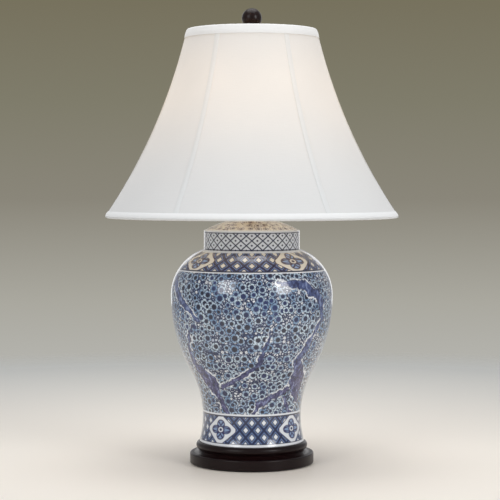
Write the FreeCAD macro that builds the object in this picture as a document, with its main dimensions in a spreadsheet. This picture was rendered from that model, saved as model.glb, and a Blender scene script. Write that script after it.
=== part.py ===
# Ginger jar table lamp: a lidded porcelain jar on a turned wooden base, with a threaded rod, a socket,
# a bulb, a harp and a six-panel bell shade of stretched cloth, held by a ball finial.
# Millimetres, +Z up. The origin is the middle of the underside, and the front is -Y.

import FreeCAD, Part
import math
import os
import Sketcher

os.makedirs("parts", exist_ok=True)
doc = FreeCAD.newDocument("GingerJarLamp")

# Driving dimensions -------------------------------------------------------------------------------

SIZES = {
    # felt and wooden base
    "felt_radius": 92.0,
    "felt_thickness": 1.5,
    "base_radius": 97.0,
    "base_height": 33.7,
    "base_side_height": 14.0,
    "base_edge_round": 2.5,
    "base_foot_chamfer": 0.8,
    "base_cove_height": 21.5,
    "base_cove_radius": 16.0,
    "base_bead_radius": 6.6,
    "base_recess_radius": 35.0,
    "base_recess_depth": 14.0,
    "foot_margin": 0.6,
    # outlet of the cord, in the back of the base
    "outlet_height": 8.2,
    "bushing_radius": 5.0,
    "bushing_bore_radius": 3.4,
    "bushing_length": 20.0,
    "bushing_flange_radius": 6.6,
    "bushing_flange_thickness": 1.5,
    # threaded rod and what it clamps
    "rod_radius": 4.75,
    "rod_bore_radius": 3.1,
    "rod_play": 0.35,
    "rod_below_nut": 2.4,
    "rod_into_socket": 12.0,
    "base_washer_radius": 16.0,
    "base_washer_thickness": 1.2,
    "lock_washer_radius": 8.0,
    "lock_washer_thickness": 1.3,
    "nut_across_flats": 14.3,
    "nut_thickness": 3.2,
    # jar
    "jar_wall": 5.0,
    "jar_waist_radius": 77.0,
    "jar_waist_height": 39.1,
    "jar_belly_radius": 126.6,
    "jar_belly_height": 229.1,
    "jar_belly_arc": 244.5,
    "jar_shoulder_rise": 71.2,
    "jar_ledge_margin": 1.9,
    "jar_neck_rise": 16.7,
    "jar_neck_wall": 4.5,
    "jar_foot_recess": 4.0,
    "jar_foot_ring": 12.0,
    "jar_foot_chamfer": 1.2,
    "jar_floor_thickness": 7.0,
    "jar_hole_radius": 6.5,
    # lid
    "lid_radius": 74.9,
    "lid_wall": 4.5,
    "lid_play": 1.4,
    "lid_height": 49.5,
    "lid_dome_rise": 18.5,
    "lid_corner_round": 2.5,
    "lid_land_radius": 16.0,
    "lid_washer_thickness": 1.6,
    # cap, tube and ring on the rod above the lid
    "vase_cap_radius": 19.0,
    "vase_cap_height": 5.5,
    "vase_cap_lip": 1.2,
    "vase_cap_wall": 1.7,
    "vase_cap_crown_radius": 9.0,
    "vase_cap_edge": 1.4,
    "neck_tube_radius": 6.35,
    "neck_tube_length": 18.0,
    "check_ring_radius": 11.0,
    "check_ring_thickness": 3.0,
    "check_ring_round": 0.9,
    # harp and its saddle
    "saddle_thickness": 1.6,
    "saddle_width": 12.0,
    "saddle_tongue_thickness": 1.4,
    "saddle_tongue_width": 3.5,
    "saddle_tongue_height": 15.0,
    "harp_height": 250.0,
    "harp_half_width": 57.0,
    "harp_foot_offset": 29.5,
    "harp_foot_straight": 42.0,
    "harp_wire_radius": 2.0,
    "harp_flare_angle": 40.0,
    "harp_lower_bend": 40.0,
    "harp_top_bend": 40.0,
    "harp_plate_radius": 8.0,
    "harp_plate_thickness": 3.0,
    "ferrule_radius": 4.9,
    "ferrule_length": 18.0,
    "ferrule_wall": 1.1,
    "stud_shank_radius": 2.5,
    "stud_shank_play": 0.15,
    "stud_head_radius": 4.5,
    "stud_head_height": 1.4,
    "stud_flange_radius": 7.0,
    "stud_flange_thickness": 2.0,
    "stud_thread_radius": 3.175,
    "stud_thread_play": 0.2,
    "stud_thread_above_hub": 7.6,
    # socket
    "socket_cap_height": 18.4,
    "socket_cap_radius": 17.2,
    "socket_cap_wall": 0.6,
    "socket_cap_hub_radius": 8.0,
    "socket_cap_flare_height": 9.5,
    "socket_shell_overlap": 2.4,
    "socket_shell_top": 64.0,
    "socket_shell_wall": 0.5,
    "socket_insulator_wall": 1.0,
    "socket_insulator_inset": 1.0,
    "socket_body_half_width": 13.0,
    "socket_body_foot": 20.0,
    "socket_body_top": 38.0,
    "socket_screw_shell_wall": 0.6,
    "socket_screw_shell_top": 62.0,
    "socket_screw_shell_hole": 6.0,
    "socket_contact_radius": 4.0,
    "socket_contact_thickness": 1.5,
    "terminal_screw_radius": 2.6,
    "terminal_screw_head": 1.3,
    "terminal_screw_shank_radius": 1.5,
    "terminal_screw_depth": 5.0,
    "terminal_screw_height": 25.0,
    "set_screw_radius": 1.4,
    "set_screw_length": 5.0,
    "set_screw_height": 2.4,
    "switch_height": 31.0,
    "switch_stem_radius": 1.6,
    "switch_stem_play": 0.15,
    "switch_slot_play": 0.9,
    "switch_stem_inner": 9.5,
    "switch_stem_outer": 24.0,
    "switch_knob_inner": 20.0,
    "switch_knob_outer": 33.0,
    "switch_knob_radius": 5.6,
    "switch_knob_tip_radius": 4.4,
    # bulb
    "bulb_ball_radius": 30.0,
    "bulb_length": 105.0,
    "bulb_glass_wall": 0.8,
    "bulb_neck_radius": 14.0,
    "bulb_neck_height": 33.0,
    "bulb_cap_radius": 13.0,
    "bulb_cap_wall": 0.4,
    "bulb_cap_length": 19.0,
    "bulb_cap_play": 0.3,
    "bulb_insulator_height": 4.0,
    "bulb_insulator_foot": 7.0,
    "bulb_contact_radius": 4.6,
    "bulb_contact_height": 1.2,
    # shade
    "shade_height": 293.5,
    "shade_top_radius": 100.3,
    "shade_bottom_radius": 229.8,
    "shade_flare_arc": 880.0,
    "shade_flatness": 0.17,
    "shade_cover_thickness": 0.9,
    "shade_wire_radius": 1.5,
    "shade_wire_play": 0.15,
    "shade_lining_thickness": 0.6,
    "shade_binding_thickness": 1.0,
    "shade_binding_play": 0.1,
    "shade_binding_inner_height": 9.0,
    "shade_top_binding_height": 14.0,
    "shade_bottom_binding_height": 10.5,
    "shade_braid_width": 8.5,
    "shade_braid_thickness": 0.8,
    "shade_braid_gap": 0.3,
    "spider_drop": 12.5,
    "spider_hub_radius": 16.0,
    "spider_hub_thickness": 2.0,
    "spider_arm_radius": 1.6,
    "spider_arm_play": 0.4,
    # finial
    "finial_ball_radius": 15.65,
    "finial_ball_height": 27.7,
    "finial_base_radius": 10.0,
    "finial_base_side": 5.85,
    "finial_base_height": 6.5,
    "finial_waist_radius": 6.2,
    "finial_flat_radius": 7.2,
    "finial_insert_radius": 4.6,
    "finial_insert_length": 15.0,
    "finial_insert_play": 0.1,
}

RIB_COUNT = 6
ARM_COUNT = 3
SECTION_COUNT = 5
SIXTH_TURN = 60.0

sheet = doc.addObject("Spreadsheet::Sheet", "Sizes")
for row, (alias, number) in enumerate(SIZES.items(), start=1):
    sheet.set(f"A{row}", alias)
    sheet.set(f"B{row}", str(number))
    sheet.setAlias(f"B{row}", alias)
doc.recompute()


class Size:
    """A size worked out from the sheet: its value now, and the expression that keeps it up to date."""

    def __init__(self, value, text):
        self.value = value
        self.text = text

    def __add__(self, other):
        other = as_size(other)
        return Size(self.value + other.value, f"({self.text} + {other.text})")

    def __sub__(self, other):
        other = as_size(other)
        return Size(self.value - other.value, f"({self.text} - {other.text})")

    def __mul__(self, other):
        other = as_size(other)
        return Size(self.value * other.value, f"({self.text} * {other.text})")

    def __truediv__(self, other):
        other = as_size(other)
        return Size(self.value / other.value, f"({self.text} / {other.text})")

    def __neg__(self):
        return Size(-self.value, f"(0 - {self.text})")


def as_size(number):
    """A plain number as a Size."""
    return number if isinstance(number, Size) else Size(float(number), repr(float(number)))


def root(size):
    return Size(math.sqrt(size.value), f"sqrt({size.text})")


def sine(size):
    return Size(math.sin(math.radians(size.value)), f"sin({size.text})")


def cosine(size):
    return Size(math.cos(math.radians(size.value)), f"cos({size.text})")


def leg(hypotenuse, other_leg):
    """The other leg of a right triangle."""
    return root(hypotenuse * hypotenuse - other_leg * other_leg)


class Sheet:
    """The cells of the sheet, as attributes."""


cell = Sheet()
for alias in SIZES:
    setattr(cell, alias, Size(float(sheet.get(alias)), f"Sizes.{alias}"))

ZERO = Size(0.0, "0")


# Sketches and solids ------------------------------------------------------------------------------

pieces = []


class Arc:
    """In an outline, the edge from the corner before it to the corner after it is this arc."""

    def __init__(self, radius, hollow=False):
        self.radius = as_size(radius)
        self.hollow = hollow

    def between(self, start, end):
        """The arc as geometry. It bulges to the right of the way from start to end, or left if hollow."""
        way = end - start
        side = FreeCAD.Vector(-way.y, way.x, 0).normalize() * (-1 if self.hollow else 1)
        rise = math.sqrt(self.radius.value ** 2 - way.Length ** 2 / 4)
        centre = (start + end) * 0.5 + side * rise
        first, last = (end, start) if self.hollow else (start, end)
        from_angle = math.atan2(first.y - centre.y, first.x - centre.x)
        to_angle = math.atan2(last.y - centre.y, last.x - centre.x)
        circle = Part.Circle(centre, FreeCAD.Vector(0, 0, 1), self.radius.value)
        return Part.ArcOfCircle(circle, from_angle, to_angle)


def bind(sketch, kind, arguments, size):
    """Adds a dimension to the sketch and binds it to the size."""
    index = sketch.addConstraint(Sketcher.Constraint(kind, *arguments, size.value))
    sketch.setExpression(f"Constraints[{index}]", size.text)


def pin(sketch, edge, end, x, y):
    """Fixes one end of an edge at x, y."""
    for kind, distance, zero_axis in (("DistanceX", x, -2), ("DistanceY", y, -1)):
        if distance.value == 0:
            sketch.addConstraint(Sketcher.Constraint("PointOnObject", edge, end, zero_axis))
        elif distance.value > 0:
            bind(sketch, kind, (-1, 1, edge, end), distance)
        else:
            bind(sketch, kind, (edge, end, -1, 1), -distance)


def draw(sketch, outline, closed=True):
    """Draws corners, and the arcs between some of them, counter-clockwise, each corner fixed."""
    corners = []
    arcs = {}
    for step in outline:
        if isinstance(step, Arc):
            arcs[len(corners) - 1] = step
        else:
            corners.append((as_size(step[0]), as_size(step[1])))
    edges = []
    for index in range(len(corners) if closed else len(corners) - 1):
        x, y = corners[index]
        next_x, next_y = corners[(index + 1) % len(corners)]
        start = FreeCAD.Vector(x.value, y.value, 0)
        end = FreeCAD.Vector(next_x.value, next_y.value, 0)
        arc = arcs.get(index)
        shape = arc.between(start, end) if arc else Part.LineSegment(start, end)
        ends = (2, 1) if arc and arc.hollow else (1, 2)
        edges.append((sketch.addGeometry(shape, False), *ends))
    for index, (edge, start, end) in enumerate(edges):
        if closed or index + 1 < len(edges):
            next_edge, next_start, _ = edges[(index + 1) % len(edges)]
            sketch.addConstraint(Sketcher.Constraint("Coincident", edge, end, next_edge, next_start))
        pin(sketch, edge, start, *corners[index])
        if index in arcs:
            bind(sketch, "Radius", (edge,), arcs[index].radius)
    if not closed:
        edge, _, end = edges[-1]
        pin(sketch, edge, end, *corners[-1])


def draw_circle(sketch, radius, x=ZERO, y=ZERO):
    centre = FreeCAD.Vector(x.value, y.value, 0)
    edge = sketch.addGeometry(Part.Circle(centre, FreeCAD.Vector(0, 0, 1), radius.value), False)
    pin(sketch, edge, 3, x, y)
    bind(sketch, "Radius", (edge,), radius)


def rectangle(left, bottom, right, top):
    return [(left, bottom), (right, bottom), (right, top), (left, top)]


def new_body(label):
    body = doc.addObject("PartDesign::Body", label)
    body.Label = label
    pieces.append(body)
    return body


def origin_feature(body, role):
    return [feature for feature in body.Origin.OriginFeatures if feature.Role == role][0]


def new_sketch(body, name, role, height=None):
    """A sketch on one of the body's own origin planes, moved along the plane's normal by the height."""
    sketch = body.newObject("Sketcher::SketchObject", f"{body.Label}_{name}")
    sketch.AttachmentSupport = (origin_feature(body, role), [""])
    sketch.MapMode = "FlatFace"
    if height:
        sketch.setExpression("AttachmentOffset.Base.z", height.text)
    return sketch


def place(piece, z=ZERO, turn=0.0):
    """Sets a piece at its height, turned about Z by an angle in degrees."""
    turned_to = FreeCAD.Rotation(FreeCAD.Vector(0, 0, 1), turn)
    piece.Placement = FreeCAD.Placement(FreeCAD.Vector(0, 0, z.value), turned_to)
    piece.setExpression("Placement.Base.z", z.text)


def revolve(body, name, outline):
    """Turns an outline, given as radius and height, about Z."""
    sketch = new_sketch(body, f"{name}_outline", "XZ_Plane")
    draw(sketch, outline)
    turn = body.newObject("PartDesign::Revolution", f"{body.Label}_{name}")
    turn.Profile = sketch
    turn.ReferenceAxis = (sketch, ["V_Axis"])
    turn.Angle = 360
    return turn


def turned(label, outline, z=ZERO):
    """A piece turned about Z."""
    body = new_body(label)
    revolve(body, "turn", outline)
    place(body, z)
    return body


def ring(label, inner, outer, thickness, z):
    """A washer or a sleeve."""
    return turned(label, rectangle(inner, ZERO, outer, thickness), z)


def pad(body, name, sketch, length, both_ways=False):
    feature = body.newObject("PartDesign::Pad", f"{body.Label}_{name}")
    feature.Profile = sketch
    feature.Midplane = both_ways
    feature.setExpression("Length", length.text)
    return feature


def pocket(body, name, sketch, length, reverse=False):
    """Cuts the sketch's shape, against its normal or, reversed, along it."""
    doc.recompute()
    before = body.Shape.Volume
    feature = body.newObject("PartDesign::Pocket", f"{body.Label}_{name}")
    feature.Profile = sketch
    feature.Reversed = reverse
    feature.setExpression("Length", length.text)
    doc.recompute()
    assert body.Shape.Volume < before, f"{feature.Label} cuts nothing"
    return feature


def mirror(body, features):
    """Repeats the features on the other side of the plane x = 0."""
    mirrored = body.newObject("PartDesign::Mirrored", f"{body.Label}_mirrored")
    mirrored.Originals = features
    mirrored.MirrorPlane = (origin_feature(body, "YZ_Plane"), [""])
    body.Tip = mirrored


def repeat_around(body, feature, count):
    """Repeats a feature at even steps about Z."""
    around = body.newObject("PartDesign::PolarPattern", f"{feature.Label}_around")
    around.Originals = [feature]
    around.Axis = (origin_feature(body, "Z_Axis"), [""])
    around.Angle = 360
    around.Occurrences = count
    body.Tip = around


def radial_hole(body, name, radius, z, length, back=False):
    """A round hole from the axis out to the front, or to the back."""
    sketch = new_sketch(body, f"{name}_circle", "XZ_Plane")
    draw_circle(sketch, radius, ZERO, z)
    return pocket(body, name, sketch, length, reverse=not back)


def wire(label, path):
    """A bent wire in the XZ plane: the body, with the path of its centre line."""
    body = new_body(label)
    route = new_sketch(body, "path", "XZ_Plane")
    draw(route, path, closed=False)
    return body, route


def sweep(body, route, radius):
    """Sweeps a round section along the route, from its first point."""
    section = body.newObject("Sketcher::SketchObject", f"{body.Label}_section")
    section.AttachmentSupport = [(route, "Edge1"), (route, "Vertex1")]
    section.MapMode = "NormalToEdge"
    draw_circle(section, radius)
    pipe = body.newObject("PartDesign::AdditivePipe", f"{body.Label}_pipe")
    pipe.Profile = section
    pipe.Spine = (route, [])
    return pipe


def crosswise(label, outline, y, z, about_y=-1.0):
    """A piece turned about an axis along Y: the outline's heights run towards -Y, or +Y if about_y is 1."""
    body = new_body(label)
    revolve(body, "turn", outline)
    lean = FreeCAD.Rotation(FreeCAD.Vector(1, 0, 0), -90.0 * about_y)
    body.Placement = FreeCAD.Placement(FreeCAD.Vector(0, y.value, z.value), lean)
    body.setExpression("Placement.Base.y", y.text)
    body.setExpression("Placement.Base.z", z.text)
    return body


# Heights of the stack on the rod, each resting on the one below ----------------------------------

base_z = cell.felt_thickness
jar_z = base_z + cell.base_height
ledge_height = cell.jar_belly_height + cell.jar_shoulder_rise
lid_z = jar_z + ledge_height
dome_radius_edge = cell.lid_radius - cell.lid_corner_round
dome_arc = (dome_radius_edge * dome_radius_edge + cell.lid_dome_rise * cell.lid_dome_rise) / (
    cell.lid_dome_rise * 2)
dome_centre = cell.lid_height - dome_arc
land_height = dome_centre + leg(dome_arc, cell.lid_land_radius)
lid_washer_z = lid_z + land_height
vase_cap_z = lid_washer_z + cell.lid_washer_thickness
neck_tube_z = vase_cap_z + cell.vase_cap_height
check_ring_z = neck_tube_z + cell.neck_tube_length
saddle_z = check_ring_z + cell.check_ring_thickness
socket_z = saddle_z + cell.saddle_thickness
harp_top_z = socket_z + cell.harp_height
hub_z = harp_top_z + cell.stud_flange_thickness
finial_z = hub_z + cell.spider_hub_thickness
shade_z = hub_z + cell.spider_drop - cell.shade_height
rod_hole = cell.rod_radius + cell.rod_play


# Base ---------------------------------------------------------------------------------------------

def felt_pad():
    ring("felt_pad", ZERO, cell.felt_radius, cell.felt_thickness, ZERO)


def wood_base():
    """A turned disc with a rounded edge, a cove and a bead, recessed below for the nut."""
    body = new_body("wood_base")
    bead_root = foot_radius + cell.foot_margin
    rounded = cell.base_radius - cell.base_edge_round
    revolve(body, "turn", [
        (cell.base_recess_radius, ZERO),
        (cell.base_radius - cell.base_foot_chamfer, ZERO),
        (cell.base_radius, cell.base_foot_chamfer),
        (cell.base_radius, cell.base_side_height),
        Arc(cell.base_edge_round),
        (rounded, cell.base_side_height + cell.base_edge_round),
        Arc(cell.base_cove_radius, hollow=True),
        (bead_root, cell.base_cove_height),
        Arc(cell.base_bead_radius),
        (bead_root, cell.base_height),
        (rod_hole, cell.base_height),
        (rod_hole, cell.base_recess_depth),
        (cell.base_recess_radius, cell.base_recess_depth),
    ])
    radial_hole(body, "outlet", cell.bushing_radius, cell.outlet_height, cell.base_radius, back=True)
    place(body, base_z)


def cord_bushing():
    """A flanged sleeve in the outlet at the back."""
    crosswise("cord_bushing", [
        (cell.bushing_bore_radius, ZERO),
        (cell.bushing_radius, ZERO),
        (cell.bushing_radius, cell.bushing_length),
        (cell.bushing_flange_radius, cell.bushing_length),
        (cell.bushing_flange_radius, cell.bushing_length + cell.bushing_flange_thickness),
        (cell.bushing_bore_radius, cell.bushing_length + cell.bushing_flange_thickness),
    ], cell.base_radius - cell.bushing_length, base_z + cell.outlet_height, about_y=1.0)


def base_fasteners():
    """Washer, lock washer and hexagon nut, one under the other, against the top of the recess."""
    washer_z = base_z + cell.base_recess_depth - cell.base_washer_thickness
    lock_z = washer_z - cell.lock_washer_thickness
    nut_z = lock_z - cell.nut_thickness
    ring("base_washer", rod_hole, cell.base_washer_radius, cell.base_washer_thickness, washer_z)
    ring("base_lock_washer", rod_hole, cell.lock_washer_radius, cell.lock_washer_thickness, lock_z)
    nut = new_body("base_nut")
    hexagon = new_sketch(nut, "hexagon", "XY_Plane")
    flat = cell.nut_across_flats / 2
    corner = flat / cosine(as_size(SIXTH_TURN / 2))
    half_side = corner / 2
    draw(hexagon, [
        (corner, ZERO), (half_side, flat), (-half_side, flat),
        (-corner, ZERO), (-half_side, -flat), (half_side, -flat),
    ])
    draw_circle(hexagon, cell.rod_radius)
    pad(nut, "pad", hexagon, cell.nut_thickness)
    place(nut, nut_z)
    return nut_z


def threaded_rod(nut_z):
    """The hollow rod from below the nut up into the socket, which clamps the whole lamp."""
    foot = nut_z - cell.rod_below_nut
    top = socket_z + cell.rod_into_socket
    ring("threaded_rod", cell.rod_bore_radius, cell.rod_radius, top - foot, foot)


# Jar and lid --------------------------------------------------------------------------------------

# The outside is three tangent arcs: a hollow one at the waist, a long one up to the belly, and the
# shoulder, which ends in a ledge a little wider than the lid. The inside is the same arcs, a wall further in.
waist_to_belly = cell.jar_belly_height - cell.jar_waist_height
waist_step = cell.jar_belly_radius - cell.jar_waist_radius
waist_arc = (waist_step * waist_step + waist_to_belly * waist_to_belly) / (
    waist_step * 2) - cell.jar_belly_arc
waist_centre = cell.jar_waist_radius + waist_arc
belly_centre = cell.jar_belly_radius - cell.jar_belly_arc
ledge_radius = cell.lid_radius + cell.jar_ledge_margin
shoulder_step = cell.jar_belly_radius - ledge_radius
shoulder_arc = (shoulder_step * shoulder_step + cell.jar_shoulder_rise * cell.jar_shoulder_rise) / (
    shoulder_step * 2)
shoulder_centre = cell.jar_belly_radius - shoulder_arc
foot_radius = waist_centre - leg(waist_arc, cell.jar_waist_height)


def waist_join(inset):
    """Where the waist's arc passes into the belly's, at a depth below the outside."""
    share = (cell.jar_belly_arc - inset) / (cell.jar_belly_arc + waist_arc)
    x = belly_centre + (waist_centre - belly_centre) * share
    z = cell.jar_belly_height - waist_to_belly * share
    return x, z


def jar():
    neck_radius = cell.lid_radius - cell.lid_wall - cell.lid_play
    neck_inside = neck_radius - cell.jar_neck_wall
    neck_top = ledge_height + cell.jar_neck_rise
    shoulder_inside = shoulder_arc - cell.jar_wall
    under_neck = cell.jar_belly_height + leg(shoulder_inside, neck_inside - shoulder_centre)
    chamfered = waist_centre - leg(waist_arc, cell.jar_waist_height - cell.jar_foot_chamfer)
    floor_top = cell.jar_foot_recess + cell.jar_floor_thickness
    waist_inside = waist_arc + cell.jar_wall
    floor_radius = waist_centre - leg(waist_inside, cell.jar_waist_height - floor_top)
    ring_inside = foot_radius - cell.jar_foot_ring
    turned("jar", [
        (ring_inside, ZERO),
        (foot_radius - cell.jar_foot_chamfer, ZERO),
        (chamfered, cell.jar_foot_chamfer),
        Arc(waist_arc, hollow=True),
        waist_join(ZERO),
        Arc(cell.jar_belly_arc),
        (cell.jar_belly_radius, cell.jar_belly_height),
        Arc(shoulder_arc),
        (ledge_radius, ledge_height),
        (neck_radius, ledge_height),
        (neck_radius, neck_top),
        (neck_inside, neck_top),
        (neck_inside, under_neck),
        Arc(shoulder_inside, hollow=True),
        (cell.jar_belly_radius - cell.jar_wall, cell.jar_belly_height),
        Arc(cell.jar_belly_arc - cell.jar_wall, hollow=True),
        waist_join(cell.jar_wall),
        Arc(waist_inside),
        (floor_radius, floor_top),
        (cell.jar_hole_radius, floor_top),
        (cell.jar_hole_radius, cell.jar_foot_recess),
        (ring_inside, cell.jar_foot_recess),
    ], jar_z)


def lid():
    """A straight-sided cap over the neck with a shallow dome, flat where the washer lies."""
    inside = cell.lid_radius - cell.lid_wall
    dome_inside = dome_arc - cell.lid_wall
    shoulder = cell.lid_height - cell.lid_dome_rise
    turned("lid", [
        (inside, ZERO),
        (cell.lid_radius, ZERO),
        (cell.lid_radius, shoulder - cell.lid_corner_round),
        Arc(cell.lid_corner_round),
        (dome_radius_edge, shoulder),
        Arc(dome_arc),
        (cell.lid_land_radius, land_height),
        (rod_hole, land_height),
        (rod_hole, dome_centre + leg(dome_inside, rod_hole)),
        Arc(dome_inside, hollow=True),
        (inside, dome_centre + leg(dome_inside, inside)),
    ], lid_z)


def vase_cap():
    """A pressed cap whose lip hides the rubber washer."""
    lip_inside = cell.vase_cap_radius - cell.vase_cap_wall
    height = cell.vase_cap_height + cell.vase_cap_lip
    turned("vase_cap", [
        (rod_hole, cell.vase_cap_lip),
        (lip_inside, cell.vase_cap_lip),
        (lip_inside, ZERO),
        (cell.vase_cap_radius, ZERO),
        (cell.vase_cap_radius, cell.vase_cap_edge + cell.vase_cap_lip),
        Arc(cell.vase_cap_radius),
        (cell.vase_cap_crown_radius, height),
        (rod_hole, height),
    ], vase_cap_z - cell.vase_cap_lip)


def rod_trim():
    """The rubber washer on the lid, and the cap, tube and ring above it."""
    washer_radius = cell.lid_land_radius - cell.rod_play
    ring("lid_rubber_washer", rod_hole, washer_radius, cell.lid_washer_thickness, lid_washer_z)
    vase_cap()
    ring("neck_tube", rod_hole, cell.neck_tube_radius, cell.neck_tube_length, neck_tube_z)
    rounded = cell.check_ring_radius - cell.check_ring_round
    turned("check_ring", [
        (rod_hole, ZERO),
        (rounded, ZERO),
        Arc(cell.check_ring_round),
        (cell.check_ring_radius, cell.check_ring_round),
        (cell.check_ring_radius, cell.check_ring_thickness - cell.check_ring_round),
        Arc(cell.check_ring_round),
        (rounded, cell.check_ring_thickness),
        (rod_hole, cell.check_ring_thickness),
    ], check_ring_z)


# Harp ---------------------------------------------------------------------------------------------

# The tongue and the foot of the wire lie side by side in the ferrule, whose middle is between them.
tongue_outside = cell.harp_foot_offset - cell.harp_wire_radius
tongue_inside = tongue_outside - cell.saddle_tongue_thickness
ferrule_centre = (tongue_inside + cell.harp_foot_offset + cell.harp_wire_radius) / 2


def harp_saddle():
    """A strip under the socket with a tongue turned up at each end."""
    body = new_body("harp_saddle")
    half_length = cell.harp_foot_offset + cell.harp_wire_radius
    half_width = cell.saddle_width / 2
    strip = new_sketch(body, "strip", "XY_Plane")
    draw(strip, rectangle(-half_length, -half_width, half_length, half_width))
    draw_circle(strip, rod_hole)
    pad(body, "strip_pad", strip, cell.saddle_thickness)
    tongues = new_sketch(body, "tongues", "XY_Plane")
    half_tongue = cell.saddle_tongue_width / 2
    draw(tongues, rectangle(tongue_inside, -half_tongue, tongue_outside, half_tongue))
    draw(tongues, rectangle(-tongue_outside, -half_tongue, -tongue_inside, half_tongue))
    pad(body, "tongue_pad", tongues, cell.saddle_thickness + cell.saddle_tongue_height)
    place(body, saddle_z)


def harp():
    """One wire, up from the saddle, out round the bulb and over the top, flattened there for the stud."""
    foot = cell.harp_foot_offset
    side = cell.harp_half_width
    over = cell.harp_height - cell.harp_wire_radius
    flare_share = as_size(1) - cosine(cell.harp_flare_angle)
    upper_bend = (side - foot) / flare_share - cell.harp_lower_bend
    turn_x = foot + cell.harp_lower_bend * flare_share
    turn_z = cell.harp_foot_straight + cell.harp_lower_bend * sine(cell.harp_flare_angle)
    upright_z = turn_z + upper_bend * sine(cell.harp_flare_angle)
    corner = cell.harp_top_bend
    body, route = wire("harp", [
        (foot, ZERO),
        (foot, cell.harp_foot_straight),
        Arc(cell.harp_lower_bend, hollow=True),
        (turn_x, turn_z),
        Arc(upper_bend),
        (side, upright_z),
        (side, over - corner),
        Arc(corner),
        (side - corner, over),
        (corner - side, over),
        Arc(corner),
        (-side, over - corner),
        (-side, upright_z),
        Arc(upper_bend),
        (-turn_x, turn_z),
        Arc(cell.harp_lower_bend, hollow=True),
        (-foot, cell.harp_foot_straight),
        (-foot, ZERO),
    ])
    sweep(body, route, cell.harp_wire_radius)
    plate = new_sketch(body, "plate", "XY_Plane", cell.harp_height - cell.harp_plate_thickness)
    draw_circle(plate, cell.harp_plate_radius)
    pad(body, "plate_pad", plate, cell.harp_plate_thickness)
    flat = new_sketch(body, "flat", "XY_Plane", cell.harp_height - cell.harp_plate_thickness)
    draw_circle(flat, cell.harp_plate_radius)
    pocket(body, "flattening", flat, cell.harp_wire_radius * 2)
    bore = new_sketch(body, "bore", "XY_Plane", cell.harp_height)
    draw_circle(bore, cell.stud_shank_radius + cell.stud_shank_play)
    pocket(body, "stud_hole", bore, cell.harp_plate_thickness)
    place(body, socket_z)


def harp_ferrule(label, side):
    """A sleeve that locks the harp's foot to the saddle's tongue."""
    body = new_body(label)
    section = new_sketch(body, "section", "XY_Plane")
    centre = ferrule_centre * side
    draw_circle(section, cell.ferrule_radius, centre)
    draw_circle(section, cell.ferrule_radius - cell.ferrule_wall, centre)
    pad(body, "pad", section, cell.ferrule_length)
    place(body, socket_z)


def harp_stud():
    """The swivel in the harp's top: riveted below, with a seat for the shade and a thread for the finial."""
    below = cell.harp_plate_thickness + cell.stud_head_height
    seat = below + cell.stud_flange_thickness
    tip = seat + cell.spider_hub_thickness + cell.stud_thread_above_hub
    turned("harp_stud", [
        (ZERO, ZERO),
        (cell.stud_head_radius, ZERO),
        (cell.stud_head_radius, cell.stud_head_height),
        (cell.stud_shank_radius, cell.stud_head_height),
        (cell.stud_shank_radius, below),
        (cell.stud_flange_radius, below),
        (cell.stud_flange_radius, seat),
        (cell.stud_thread_radius, seat),
        (cell.stud_thread_radius, tip),
        (ZERO, tip),
    ], harp_top_z - below)


# Socket, heights from its seat on the saddle --------------------------------------------------------

def socket_metal():
    """The flared cap, and the shell that snaps into it."""
    cap_inside = cell.socket_cap_radius - cell.socket_cap_wall
    hub_inside = cell.socket_cap_hub_radius - cell.socket_cap_wall
    flare = cell.socket_cap_radius
    hub_height = cell.set_screw_height * 2
    cap = new_body("socket_cap")
    revolve(cap, "turn", [
        (cell.rod_radius, ZERO),
        (cell.socket_cap_hub_radius, ZERO),
        (cell.socket_cap_hub_radius, hub_height),
        Arc(flare),
        (cell.socket_cap_radius, hub_height + cell.socket_cap_flare_height),
        (cell.socket_cap_radius, cell.socket_cap_height),
        (cap_inside, cell.socket_cap_height),
        (cap_inside, hub_height + cell.socket_cap_flare_height),
        Arc(flare - cell.socket_cap_wall, hollow=True),
        (hub_inside, hub_height + cell.socket_cap_wall),
        (cell.rod_radius, hub_height + cell.socket_cap_wall),
    ])
    radial_hole(cap, "set_screw_hole", cell.set_screw_radius, cell.set_screw_height,
                cell.socket_cap_radius, back=True)
    place(cap, socket_z)
    shell_foot = cell.socket_cap_height - cell.socket_shell_overlap
    shell = new_body("socket_shell")
    shell_inside = shell_radius - cell.socket_shell_wall
    revolve(shell, "turn", rectangle(shell_inside, shell_foot, shell_radius, cell.socket_shell_top))
    slot = cell.switch_stem_radius + cell.switch_slot_play
    radial_hole(shell, "stem_slot", slot, cell.switch_height, cell.socket_cap_radius)
    place(shell, socket_z)


shell_radius = cell.socket_cap_radius - cell.socket_cap_wall
insulator_radius = shell_radius - cell.socket_shell_wall
insulator_inside = insulator_radius - cell.socket_insulator_wall
screw_shell_inside = cell.bulb_cap_radius + cell.bulb_cap_play
screw_shell_radius = screw_shell_inside + cell.socket_screw_shell_wall


def socket_inside():
    """The card insulator, and the threaded shell for the bulb with the contact in its floor."""
    insulator = new_body("socket_insulator")
    top = cell.socket_shell_top - cell.socket_insulator_inset
    revolve(insulator, "turn", rectangle(insulator_inside, cell.socket_body_foot, insulator_radius, top))
    slot = cell.switch_stem_radius + cell.switch_slot_play
    radial_hole(insulator, "stem_slot", slot, cell.switch_height, cell.socket_cap_radius)
    place(insulator, socket_z)
    floor = cell.socket_body_top
    floor_top = floor + cell.socket_screw_shell_wall
    turned("socket_screw_shell", [
        (cell.socket_screw_shell_hole, floor),
        (screw_shell_radius, floor),
        (screw_shell_radius, cell.socket_screw_shell_top),
        (screw_shell_inside, cell.socket_screw_shell_top),
        (screw_shell_inside, floor_top),
        (cell.socket_screw_shell_hole, floor_top),
    ], socket_z)
    ring("socket_contact", ZERO, cell.socket_contact_radius, cell.socket_contact_thickness, socket_z + floor)


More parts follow.
